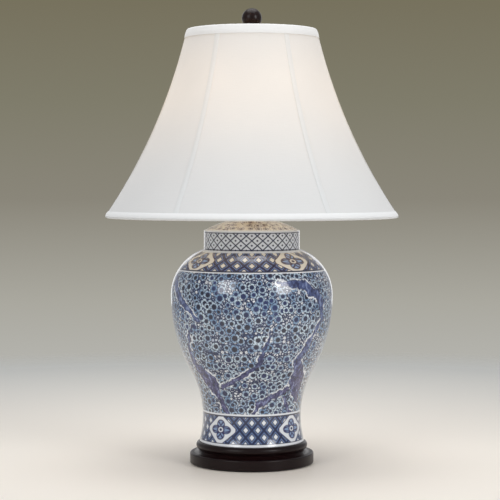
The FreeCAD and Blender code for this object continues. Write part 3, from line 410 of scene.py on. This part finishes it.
# %% Flowers, and the boughs over them
buds = flowers(paint, turns, paint.z, stretch, 0.076, 0.0075, 31, field_radius, 0.0024, 5, kept=0.45, eye=0.1)
blooms = {"play": 0.45, "kept": 0.8, "eye": 0.47}
far = flowers(paint, turns, paint.z, stretch, 0.0700, 0.0140, 17, field_radius, 0.0062, 1, **blooms)
near = flowers(paint, turns, paint.z, stretch, 0.0770, 0.0152, 16, field_radius, 0.0068, 3, **blooms)
heart_blue = paint.mix(paint.above(drift, 0.44, 0.2), tint(36, 50, 98), tint(15, 22, 50))
petal_tone = paint.mix(paint.above(wander, 0.5, 0.3), tint(194, 211, 224), tint(116, 146, 180))
field = lay_flowers(paint, ground, buds, porcelain)
field = lay_flowers(paint, field, far, petal_tone, ink, heart_blue)
field = lay_flowers(paint, field, near, petal_tone, ink, heart_blue)
ragged = reach + (paint.noise(0.004, 3.0) - 0.5) * 0.008 + (paint.noise(0.014, 1.0) - 0.5) * 0.010
streaks = paint.noise(1.0, 4.0, paint.vector(paint.x * 190, paint.y * 190, paint.z * 110), 0.6)
low_down = paint.below(paint.z, 0.165, 0.05)
wash = paint.mix(low_down, tint(74, 92, 142), tint(84, 82, 128))
bough_colour = paint.mix(paint.above(streaks, 0.48, 0.18), tint(28, 36, 78), wash)
bough_colour = paint.mix(paint.above(streaks, 0.6, 0.1), bough_colour, tint(134, 148, 186))
broken = paint.above(paint.noise(0.016, 1.0), 0.5, 0.1)
field = paint.mix(paint.band(ragged, 0.0018, 0.0013, 0.0016) * broken, field, porcelain)
field = paint.mix(paint.below(ragged, 0.0004, 0.0016), field, tint(28, 38, 80))
field = paint.mix(paint.below(ragged, -0.0006, 0.0024), field, bough_colour)

# %% The jar's bands
foot_line, foot_rim = 0.082, 0.0395
shoulder_line = 0.306


def cartouche(paint, under, across, tall, half_width, half_height, paper, line):
    """A large diamond left in a band, with rounded corners and a four-lobed flower in it."""
    lean_x = paint.math("ABSOLUTE", across) / half_width
    lean_y = paint.math("ABSOLUTE", tall) / half_height
    lozenge = paint.math("SMOOTH_MAX", lean_x + lean_y, paint.math("MAXIMUM", lean_x, lean_y) * 1.12, 0.08)
    colour = paint.mix(paint.below(lozenge, 1.06, 0.04), under, line)
    colour = paint.mix(paint.below(lozenge, 0.99, 0.04), colour, paper)
    out = paint.math("SQRT", lean_x * lean_x + lean_y * lean_y)
    angle = paint.math("ARCTAN2", lean_y, lean_x)
    lobe = paint.math("ABSOLUTE", paint.math("COSINE", angle * 2))
    beyond = out - lobe * 0.28 - 0.36
    ribs = paint.math("COSINE", angle * 12 + out * 14)
    colour = paint.mix(paint.below(beyond, 0.0, 0.05), colour, line)
    colour = paint.mix(paint.below(beyond, -0.08, 0.05) * paint.above(ribs, -0.2, 0.6), colour, pale_wash)
    colour = paint.mix(paint.below(lobe, 0.35, 0.25) * paint.below(beyond, 0.0, 0.05), colour, line)
    colour = paint.mix(paint.below(out, 0.24, 0.05), colour, line)
    colour = paint.mix(paint.below(out, 0.16, 0.05), colour, paper)
    return paint.mix(paint.below(out, 0.09, 0.05), colour, line)


foot_band = nested(paint, tint(38, 62, 112), diamonds(paint, turns, (paint.z - foot_rim) / 0.0222, 26))
tall = paint.z - (foot_line + foot_rim) / 2
across = panels_round(paint, turns, 4, -38) * 0.080
foot_band = cartouche(paint, foot_band, across, tall, 0.0300, 0.0242, porcelain, violet_ink)

# The shoulder band is painted more violet and brown than the foot band, and its diamonds and cartouches are left a
# warm white: painted warm light from the bulb, which falls on the shoulder through the shade's foot.
shoulder = nested(paint, tint(62, 64, 108), diamonds(paint, turns, (paint.z - shoulder_line) / 0.0170, 30), bulb_lit_porcelain)
tall = paint.z - 0.3205
across = panels_round(paint, turns, 4, -52) * 0.100
shoulder = cartouche(paint, shoulder, across, tall, 0.034, 0.0185, bulb_lit_porcelain, tint(72, 62, 78))

colour = paint.mix(paint.above(paint.z, foot_line), foot_band, field)
colour = paint.mix(paint.band(paint.z, foot_line + 0.0022, 0.0016), colour, porcelain)
colour = paint.mix(paint.band(paint.z, foot_line, 0.0011), colour, ink)
colour = paint.mix(paint.above(paint.z, shoulder_line - 0.0028), colour, porcelain)
colour = paint.mix(paint.above(paint.z, shoulder_line - 0.0012), colour, ink)
colour = paint.mix(paint.above(paint.z, shoulder_line + 0.0008), colour, shoulder)
colour = paint.mix(paint.above(paint.z, jar_high.z - 0.0195), colour, porcelain)
colour = paint.mix(paint.below(paint.z, foot_rim + 0.0012), colour, ink)
colour = paint.mix(paint.below(paint.z, foot_rim), colour, porcelain)
colour = paint.mix(paint.below(radius_here(paint), 0.0745), colour, porcelain)
glaze(paint, colour)
jar_finish = paint.material
print("nodes in the jar's finish:", len(paint.tree.nodes))

# %% [markdown]
# ## The lid
#
# The lid's rim has its own lattice, thin dark lines on white with a dot in each opening, between two lines. The
# dome has smaller flowers in browns on a cream ground: its blue and white as the bulb's warm light shows it, so
# this is painted warm light. Rows for a dome are rings round its top, so their height is replaced by the distance
# down the curve.

# %% Paint the lid
lid_paint = Finish("painted_lid")
turns = turns_round(lid_paint)
band_low, band_high = lid_low.z + 0.001, lid_high.z - 0.0215
level = (lid_paint.z - band_low) / 0.0148
distance = diamonds(lid_paint, turns, level, 28)
lattice = lid_paint.mix(lid_paint.above(distance, 0.84, 0.1), porcelain, ink)
lattice = lid_paint.mix(lid_paint.below(distance, 0.24, 0.12), lattice, ink)
dome_radius = 0.1609
out = radius_here(lid_paint)
down = lid_paint.math("ARCTAN2", out, lid_paint.z - (lid_high.z - dome_radius)) * dome_radius


def ring_radius(distance_down):
    return dome_radius * math.sin(max(distance_down, 0.004) / dome_radius)


vines = lid_paint.noise(0.012, 1.0)
# Painted warm light: the dome's ground and flowers are given the warm tones that the bulb's light lends them.
dome = lid_paint.mix(lid_paint.band(vines, 0.5, 0.018, 0.02), bulb_lit_porcelain, tint(96, 84, 92))
sprays = flowers(lid_paint, turns, down, 1.0, 0.0, 0.0125, 7, ring_radius, 0.0046, 2, kept=0.95)
dome = lay_flowers(lid_paint, dome, sprays, tint(214, 208, 200), tint(70, 66, 92), tint(60, 54, 82))
colour = lid_paint.mix(lid_paint.above(lid_paint.z, band_high + 0.0040), lattice, dome)
plain = lid_paint.band(lid_paint.z, band_high + 0.0022, 0.0022)
colour = lid_paint.mix(plain, colour, porcelain)
lines = lid_paint.math("MAXIMUM", lid_paint.band(lid_paint.z, band_low, 0.0008),
                       lid_paint.band(lid_paint.z, band_high, 0.0007))
colour = lid_paint.mix(lines, colour, ink)
glaze(lid_paint, colour)
print("nodes in the lid's finish:", len(lid_paint.tree.nodes))

# %% [markdown]
# ## Dark turned wood
#
# The base and the finial are stained almost black and then lacquered. Under the lacquer the grain still shows a
# little where light strikes it. Turned wood shows its rings as long bands, so the noise is squeezed in height.

# %% Wood


def turned_wood(name, dark, light, roughness):
    wood = Finish(name)
    grain = wood.noise(1.0, 4.0, wood.vector(wood.x * 40, wood.y * 160, wood.z * 420), 0.6)
    pores = wood.noise(1.0, 2.0, wood.vector(wood.x * 300, wood.y * 1400, wood.z * 1800))
    colour = wood.mix(wood.above(grain, 0.5, 0.5), dark, light)
    wood.set(base_color=wood.mix(wood.above(pores, 0.68, 0.1) * 0.5, colour, tint(10, 4, 4)))
    wood.set(roughness=grain * 0.1 + roughness, specular_ior_level=0.18, coat_weight=0.08, coat_roughness=0.12)
    wood.bump(pores, 0.00008)
    return wood.material


base_wood = turned_wood("espresso_lacquered_wood", tint(13, 4, 5), tint(27, 10, 10), 0.3)
finial_wood = turned_wood("finial_lacquered_wood", tint(20, 9, 8), tint(34, 18, 16), 0.26)

# %% [markdown]
# ## Metal, glass and card
#
# Brass, steel and the bulb are seen only through the shade's openings, or from behind. Each gets its true
# metalness and a slight variation in gloss, since bare metal is never evenly bright.

# %% Fittings


def fitting(name, dark, light, metallic, roughness, grain=0.006):
    made = Finish(name)
    cloud = made.noise(grain, 3.0)
    made.set(base_color=made.mix(made.above(cloud, 0.5, 0.6), dark, light), metallic=metallic)
    made.set(roughness=cloud * 0.12 + roughness)
    made.bump(made.noise(grain / 4, 2.0), 0.00003)
    return made.material


brass = fitting("polished_brass", tint(176, 138, 72), tint(206, 170, 100), 1.0, 0.16)
steel = fitting("plated_steel", tint(168, 168, 166), tint(200, 200, 198), 1.0, 0.22)
nickel = fitting("bulb_cap_nickel", tint(186, 184, 178), tint(214, 212, 206), 1.0, 0.2)
rubber = fitting("black_rubber", tint(22, 22, 22), tint(38, 37, 36), 0.0, 0.6)
card = fitting("grey_card", tint(96, 90, 82), tint(128, 120, 108), 0.0, 0.8, 0.003)
phenolic = fitting("brown_phenolic", tint(40, 26, 20), tint(60, 40, 30), 0.0, 0.35)
plastic = fitting("black_plastic", tint(16, 16, 17), tint(28, 28, 30), 0.0, 0.32)
wire = fitting("white_shade_wire", tint(214, 208, 196), tint(232, 228, 218), 0.0, 0.4)
black_glass = fitting("bulb_black_glass", tint(14, 14, 16), tint(26, 26, 30), 0.0, 0.1)

frosted = Finish("frosted_bulb")
frost = frosted.noise(0.004, 3.0)
frosted.set(base_color=frosted.mix(frost, tint(250, 244, 232), tint(255, 252, 244)), roughness=frost * 0.1 + 0.4)
frosted.set(emission_color=tint(255, 230, 198), emission_strength=1.6)

finishes = {
    "jar": jar_finish, "lid": lid_paint.material, "wood_base": base_wood, "finial_base": finial_wood,
    "finial_ball": finial_wood, "finial_insert": brass, "bulb_glass": frosted.material, "bulb_cap": nickel,
    "bulb_contact": nickel, "bulb_insulator": black_glass, "lid_rubber_washer": rubber, "cord_bushing": plastic,
    "switch_knob": plastic, "switch_stem": brass, "socket_insulator": card, "socket_body": phenolic,
    "threaded_rod": steel, "base_washer": steel, "base_lock_washer": steel, "base_nut": steel,
    "shade_spider": brass, "shade_top_ring": wire, "shade_bottom_ring": wire, "socket_set_screw": steel,
}
finishes.update({f"shade_rib_{number}": wire for number in range(1, 7)})
for name, node in nodes.items():
    finish = finishes.get(name, brass)
    node.data.materials.clear()
    node.data.materials.append(finish)
print("finished:", len(finishes), "pieces by name, the rest in brass")

# %% [markdown]
# ## Cloth for the shade
#
# The shade is a wire bell with six ribs. Cloth is stretched over each gap and glued to the wires, so it lies
# flatter between the ribs than a true bell would. A cloth simulation could do this, but stretched cloth hardly
# folds: its shape follows from the wires alone, so a formula gives it exactly. The radius at a height lies on
# one large circle, and each panel's arc between two ribs is a little shallower than the bell's.

# %% The bell's shape
shade_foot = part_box("shade_bottom_binding")[0].z
shade_height = 0.2935
shade_top_radius, shade_foot_radius, bell_arc = 0.1003, 0.2298, 0.880
spread = shade_foot_radius - shade_top_radius
seam_chord = math.hypot(spread, shade_height)
reach = math.sqrt(bell_arc ** 2 - (seam_chord / 2) ** 2)
bell_centre = (shade_foot_radius + shade_top_radius) / 2 + shade_height / seam_chord * reach
bell_top = shade_height / 2 + spread / seam_chord * reach
top_fold, bottom_fold, inner_fold = 0.014, 0.0105, 0.009
flatness = 0.17
sixth = math.tau / 6


def bell(height, depth=0.0):
    """The radius of the seams at a height above the shade's foot, at a depth below the cloth."""
    return bell_centre - math.sqrt((bell_arc + depth) ** 2 - (bell_top - height) ** 2)


def slack(height):
    """How far a height is from the bindings: 0 at them and 1 half way."""
    share = (height - bottom_fold) / (shade_height - top_fold - bottom_fold)
    share = min(max(share, 0.0), 1.0)
    return (4 * share * (1 - share)) ** 2


def on_panel(across, height, depth, middle):
    """A point of a panel: across runs from -1 to 1 between two seams."""
    radius = bell(height, depth)
    chord = radius * math.sin(sixth / 2)
    rise = (radius - bell(height) * flatness * slack(height)) * (1 - math.cos(sixth / 2))
    arc = (chord ** 2 + rise ** 2) / (2 * rise)
    swing = across * math.asin(chord / arc)
    outward = radius * math.cos(sixth / 2) + rise - arc + arc * math.cos(swing)
    sideways = arc * math.sin(swing)
    return (
        outward * math.cos(middle) - sideways * math.sin(middle),
        outward * math.sin(middle) + sideways * math.cos(middle),
        shade_foot + height,
    )


print("radius at foot and top, mm:", round(bell(0) * 1000, 1), round(bell(shade_height) * 1000, 1))

# %% [markdown]
# A sheet of cloth has two faces and a cut edge, so each piece is made as two grids of points joined round the
# rim. One helper builds that from any rule that places a point.

# %% A sheet from a rule


def piece(name, points, faces, finish, body, sharp=40):
    mesh = bpy.data.meshes.new(name)
    mesh.from_pydata(points, [], faces)
    mesh.update()
    mesh.shade_smooth()
    mesh.set_sharp_from_angle(angle=math.radians(sharp))
    mesh.materials.append(finish)
    made = bpy.data.objects.new(name, mesh)
    bpy.context.scene.collection.objects.link(made)
    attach(made, body)
    return made


def cloth(name, rule, columns, rows, finish, body, closed=False):
    """Both faces of a sheet: rule(column share, row share, side) gives a point, side 0 outside and 1 inside."""
    width = columns if closed else columns + 1
    points = [rule(c / columns, r / rows, side) for side in (0, 1) for r in range(rows + 1) for c in range(width)]
    half = width * (rows + 1)
    faces = []
    for r in range(rows):
        for c in range(columns):
            a, b = r * width + c, r * width + (c + 1) % width
            faces.append((a, b, b + width, a + width))
            faces.append((half + a, half + a + width, half + b + width, half + b))
    for c in range(columns):
        a, b = c, (c + 1) % width
        faces.append((b, a, half + a, half + b))
        a, b = rows * width + c, rows * width + (c + 1) % width
        faces.append((a, b, half + b, half + a))
    if not closed:
        for r in range(rows):
            a, b = r * width, (r + 1) * width
            faces.append((a, b, half + b, half + a))
            a, b = r * width + columns, (r + 1) * width + columns
            faces.append((b, a, half + a, half + b))
    return piece(name, points, faces, finish, body)


def face_area(made):
    """Half the area of a thin piece: the area of one of its faces."""
    return sum(polygon.area for polygon in made.data.polygons) / 2


# %% [markdown]
# ## Cloth that glows
#
# The shade is off-white, and the lamp is lit. Light comes through the cloth warmest beside the bulb and fades
# towards the edges. Rendering light through cloth is slow and noisy, and the glow of thick-woven cloth looks the
# same from everywhere. So the glow is painted as a weak emission that depends only on height, on the lining as
# well as the cover, and a true light inside the bulb also lights the lining, the lid and the shoulder, whose warm
# tint is mostly painted into their colours. Slubs, the thick threads of the weave, are long noise that runs round
# the shade.

# %% Cloth finishes
bulb_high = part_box("bulb_glass")[1]
glow_height = bulb_high.z + 0.035


def shade_cloth(name, colour, shadow, glow, thread=0.0012):
    made = Finish(name)
    turns = turns_round(made)
    slubs = made.noise(1.0, 3.0, made.vector(turns * 60, made.z / thread, 0.0))
    warp = made.noise(1.0, 2.0, made.vector(turns * 1400, made.z * 60, 1.0))
    weave = slubs * 0.6 + warp * 0.4
    cloud = made.noise(0.09, 2.0)
    base = made.mix(weave * 0.7 + cloud * 0.3, shadow, colour)
    lift = (made.z - glow_height) / 0.105
    bright = made.math("EXPONENT", lift * lift * -1)
    power = (bright * glow + glow * 0.1) * (cloud * 0.3 + 0.85)
    made.set(base_color=base, roughness=weave * 0.1 + 0.78, sheen_weight=0.15, sheen_roughness=0.5)
    made.set(emission_color=tint(255, 214, 160), emission_strength=power)
    made.bump(weave, 0.00015)
    return made.material


cover_cloth = shade_cloth("off_white_cover", tint(214, 216, 217), tint(204, 206, 207), 0.22)
binding_cloth = shade_cloth("off_white_binding", tint(233, 235, 236), tint(222, 224, 225), 0.10, 0.0008)
# The braids glow less than the cover: painted shadow of the ribs that lie behind them.
braid_cloth = shade_cloth("off_white_braid", tint(216, 219, 220), tint(204, 207, 209), 0.17, 0.0009)
lining_cloth = shade_cloth("white_lining", tint(238, 237, 232), tint(229, 227, 221), 0.12, 0.0010)

# %% Six cover panels and the lining
cover_thickness, lining_depth, lining_thickness = 0.0009, 0.0042, 0.0006
cloth_low, cloth_high = 0.0015, shade_height - 0.0025
cut_length = bell_arc * (
    math.asin((bell_top - cloth_low) / bell_arc) - math.asin((bell_top - cloth_high) / bell_arc))
covers = []
for number in range(1, 7):
    middle = sixth * (number - 0.5)

    def place(across, up, side, middle=middle):
        height = cloth_low + (cloth_high - cloth_low) * up
        return on_panel(across * 2 - 1, height, cover_thickness * side, middle)

    made = cloth(f"cover_panel_{number}", place, 28, 40, cover_cloth, "shade")
    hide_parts(f"shade_panel_{number}")
    covers.append(made)


def lining_place(turn, up, side):
    height = cloth_low + (cloth_high - cloth_low) * up
    number = int(turn * 6)
    share = turn * 6 - number
    return on_panel(share * 2 - 1, height, lining_depth + lining_thickness * side, sixth * (number + 0.5))


lining = cloth("lining", lining_place, 168, 36, lining_cloth, "shade", closed=True)
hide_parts("shade_lining")
print("a panel's cut, mm:", round(bell(0) * sixth * 1000), "x", round(cut_length * 1000))

# %% [markdown]
# ## Bindings and braids
#
# Each edge of the shade is closed with a strip of cloth folded over the hoop, and a flat braid hides each seam.
# A folded strip is one line, up the outside, over the hoop and down the inside, turned round the lamp. The line
# gets a thickness on both sides, and small ripples where the glued cloth was pulled round the curve.

# %% Folded strips


def fold_line(edge, way, outer_leg, inner_leg):
    """The middle of a strip folded over an edge, from the outside leg's end to the inside leg's end."""
    outside, inside, half = -0.0006, 0.0054, 0.0005
    bend = (inside - outside) / 2
    turn_height = edge - way * (bend + half)
    line = []
    for step in range(9):
        height = edge - way * outer_leg + (turn_height - edge + way * outer_leg) * step / 8
        swell = 0.0005 * math.sin(math.pi * step / 8)
        line.append((bell(height, outside - swell), height))
    for step in range(1, 12):
        angle = math.pi * step / 12
        centre = bell(turn_height, (outside + inside) / 2)
        line.append((centre + bend * math.cos(angle), turn_height + way * bend * math.sin(angle)))
    for step in range(7):
        height = turn_height - way * (inner_leg - bend - half) * step / 6
        line.append((bell(height, inside), height))
    return line


def folded_strip(name, line, finish, columns=288):
    across = len(line) - 1
    length = sum(math.dist(a, b) for a, b in zip(line, line[1:]))

    def place(turn, along, side):
        index = round(along * across)
        before, after = line[max(index - 1, 0)], line[min(index + 1, across)]
        run = math.dist(before, after)
        normal = (-(after[1] - before[1]) / run, (after[0] - before[0]) / run)
        angle = math.tau * turn
        ripple = 0.00012 * math.sin(angle * 61) * math.sin(angle * 17 + 1) + 0.00008 * math.sin(angle * 113)
        offset = (0.0005 if side else -0.0005) + ripple
        radius = line[index][0] + normal[0] * offset
        height = line[index][1] + normal[1] * offset
        return radius * math.cos(angle), radius * math.sin(angle), shade_foot + height

    made = cloth(name, place, columns, across, finish, "shade", closed=True)
    mean = sum(point[0] for point in line) / len(line)
    print(name, "strip, mm:", round(length * 1000, 1), "x", round(math.tau * mean * 1000))
    return made, (length, math.tau * mean)


top_binding, top_cut = folded_strip("top_binding", fold_line(shade_height, 1, top_fold, inner_fold), binding_cloth)
foot_binding, foot_cut = folded_strip(
    "bottom_binding", fold_line(0.0, -1, bottom_fold, inner_fold), binding_cloth)
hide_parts("shade_top_binding")
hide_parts("shade_bottom_binding")

# %% Seam braids
braid_width, braid_gap = 0.0085, 0.0003
braid_low, braid_high = bottom_fold + braid_gap, shade_height - top_fold - braid_gap
braids = []
for number in range(1, 7):
    turn = sixth * (number - 1)

    def place(across, up, side, turn=turn):
        sideways = (across - 0.5) * braid_width
        height = braid_low + (braid_high - braid_low) * up
        crown = 0.0008 * (1 - 0.75 * abs(2 * across - 1) ** 4)
        outward = bell(height, -(0.0001 + crown)) if side == 0 else bell(height, -0.0001)
        outward -= outward - math.sqrt(outward ** 2 - sideways ** 2)
        return (
            outward * math.cos(turn) - sideways * math.sin(turn),
            outward * math.sin(turn) + sideways * math.cos(turn),
            shade_foot + height,
        )

    made = cloth(f"seam_braid_{number}", place, 10, 44, braid_cloth, "shade")
    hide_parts(f"shade_seam_braid_{number}")
    braids.append(made)
print("braids:", len(braids))

# %% [markdown]
# ## Felt under the base
#
# A disc of felt keeps the base from scratching the table. It is soft wool pressed flat, so its cut edge isn't
# crisp: the rim is rounded a little and the surface is fuzzy.

# %% Felt
felt_low, felt_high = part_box("felt_pad")
felt_radius = felt_high.x


felt = Finish("dark_felt")
fuzz = felt.noise(0.0012, 4.0, None, 0.7)
felt.set(base_color=felt.mix(fuzz, tint(22, 24, 22), tint(52, 54, 50)), roughness=0.95, sheen_weight=0.4)
felt.set(sheen_roughness=0.6)
felt.bump(fuzz, 0.0003)


def felt_place(turn, along, side):
    angle = math.tau * turn
    radius = felt_radius * max(along, 0.001)
    edge = min((felt_radius - radius) / 0.0005, 1.0)
    rounding = 0.0003 * (1 - edge) ** 2
    height = felt_high.z - rounding if side == 0 else felt_low.z + rounding
    return radius * math.cos(angle), radius * math.sin(angle), height


felt_disc = cloth("felt_disc", felt_place, 96, 24, felt.material, "lamp", closed=True)
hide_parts("felt_pad")
print("felt's radius, mm:", round(felt_radius * 1000, 1))

# %% A panel's area
for number, (cover, braid) in enumerate(zip(covers, braids), 1):
    bell(0) * sixth
math.tau * bell(0)
print("a panel's area, square metres:", round(face_area(covers[0]), 4))

# %% [markdown]
# ## The studio
#
# The lamp stands on a pale satin table in soft light. The table is painted lighter and warmer near the lamp, a
# painted pool of the lamp's light, and far off the table melts into a grey that is darker higher up. A round table
# whose rim fades out does this from every side, and the grey is painted on the world by the height of each
# direction.

# %% Floor
floor_mesh = bpy.data.meshes.new("studio_floor")
ring = 96
table_radius, fade_radius, fade_width = 2.6, 1.6, 0.3
floor_points = [(0.0, 0.0, 0.0)] + [
    (table_radius * math.cos(math.tau * n / ring), table_radius * math.sin(math.tau * n / ring), 0.0)
    for n in range(ring)]
floor_mesh.from_pydata(floor_points, [], [(0, n + 1, (n + 1) % ring + 1) for n in range(ring)])
floor = bpy.data.objects.new("studio_floor", floor_mesh)
bpy.context.scene.collection.objects.link(floor)
table_top = Finish("pale_table")
out = radius_here(table_top)
# A painted pool of light: the table's colour is lighter and warmer near the lamp and fades outwards.
painted_light_pool = table_top.below(out + table_top.noise(0.4) * 0.1, 0.8, 1.3)
table_top.set(base_color=table_top.mix(painted_light_pool, tint(205, 206, 202), tint(252, 244, 233)))
table_top.set(roughness=0.4, specular_ior_level=0.08)
table_top.set(alpha=table_top.below(out, fade_radius, fade_width))
floor_mesh.materials.append(table_top.material)

# %% World
world = bpy.data.worlds.new("soft_grey_studio")
world.use_nodes = True
bpy.context.scene.world = world
tree = world.node_tree
back = tree.nodes["Background"]
sight = tree.nodes.new("ShaderNodeTexCoord")
parts = tree.nodes.new("ShaderNodeSeparateXYZ")
tree.links.new(sight.outputs["Generated"], parts.inputs[0])
slope = tree.nodes.new("ShaderNodeMapRange")
slope.inputs["From Min"].default_value = math.sin(math.radians(-8))
slope.inputs["From Max"].default_value = math.sin(math.radians(7))
tree.links.new(parts.outputs[2], slope.inputs["Value"])
greys = tree.nodes.new("ShaderNodeValToRGB")
greys.color_ramp.interpolation = "LINEAR"
greys.color_ramp.elements[0].color = tint(188, 187, 182)
greys.color_ramp.elements[1].color = tint(116, 110, 89)
for position, grey in [
    (0.13, tint(180, 179, 173)), (0.26, tint(170, 168, 159)),
    (0.49, tint(138, 134, 122)), (0.71, tint(127, 124, 107)),
]:
    greys.color_ramp.elements.new(position).color = grey
tree.links.new(slope.outputs[0], greys.inputs[0])
seen = tree.nodes.new("ShaderNodeLightPath")
soft = tree.nodes.new("ShaderNodeBackground")
soft.inputs["Color"].default_value = tint(236, 236, 238)
soft.inputs["Strength"].default_value = 0.5
choice = tree.nodes.new("ShaderNodeMixShader")
tree.links.new(seen.outputs["Is Camera Ray"], choice.inputs[0])
tree.links.new(soft.outputs[0], choice.inputs[1])
tree.links.new(back.outputs[0], choice.inputs[2])
tree.links.new(greys.outputs[0], back.inputs["Color"])
tree.links.new(choice.outputs[0], tree.nodes["World Output"].inputs["Surface"])
bpy.context.scene.view_settings.view_transform = "Standard"

# %% [markdown]
# ## Light
#
# A broad softbox stands on each side at the front, which leaves soft highlights on the glaze. A large panel
# overhead lights the table. Two weak panels behind draw a thin light edge round the jar, and are kept off the
# table, where they would show as white patches. The bulb's own light is warm and small.

# %% Lamps for the studio


def softbox(name, power, width, height, place, target, colour=(1.0, 1.0, 1.0)):
    light = bpy.data.lights.new(name, "AREA")
    light.shape = "RECTANGLE"
    light.size, light.size_y, light.energy, light.color = width, height, power, colour
    made = bpy.data.objects.new(name, light)
    made.location = place
    made.rotation_euler = (Vector(target) - Vector(place)).to_track_quat("-Z", "Y").to_euler()
    made.visible_camera = False
    bpy.context.scene.collection.objects.link(made)
    return made


softbox("front_left_softbox", 21, 1.2, 1.6, (-1.7, -2.2, 1.5), (0, 0, 0.35))
softbox("front_right_softbox", 26, 1.0, 1.4, (1.9, -1.9, 1.3), (0, 0, 0.35))
softbox("overhead_panel", 31, 2.0, 2.0, (0, 0.2, 2.4), (0, 0, 0))
lamp_only = bpy.data.collections.new("not_the_table")
lamp_only.objects.link(floor)
lamp_only.collection_objects[0].light_linking.link_state = "EXCLUDE"
for side in (-1, 1):
    edge_light = softbox("edge_softbox", 2.5, 0.6, 1.6, (0.75 * side, 2.6, 0.8), (0, 0, 0.3))
    edge_light.light_linking.receiver_collection = lamp_only

bulb_light = bpy.data.lights.new("bulb_light", "POINT")
bulb_light.energy = 0.12
bulb_light.color = tint(255, 240, 222)[:3]
bulb_light.shadow_soft_size = 0.034
bulb_glow = bpy.data.objects.new("bulb_light", bulb_light)
bulb_glow.location = (0.0, 0.0, bulb_high.z - 0.030)
bpy.context.scene.collection.objects.link(bulb_glow)
nodes["bulb_glass"].visible_shadow = False

# %% [markdown]
# ## Camera
#
# The camera is a long lens far off, a little above the middle of the jar and tipped down by two degrees, so the
# lamp's upright lines stay upright.

# %% Camera
lens = bpy.data.cameras.new("long_lens")
lens.lens, lens.sensor_width = 122.4, 36.0
camera = bpy.data.objects.new("long_lens", lens)
camera.location = (-0.0028, -2.660, 0.4439)
camera.rotation_euler = (math.radians(90 - 2.358), 0.0, 0.0)
bpy.context.scene.collection.objects.link(camera)
bpy.context.scene.camera = camera
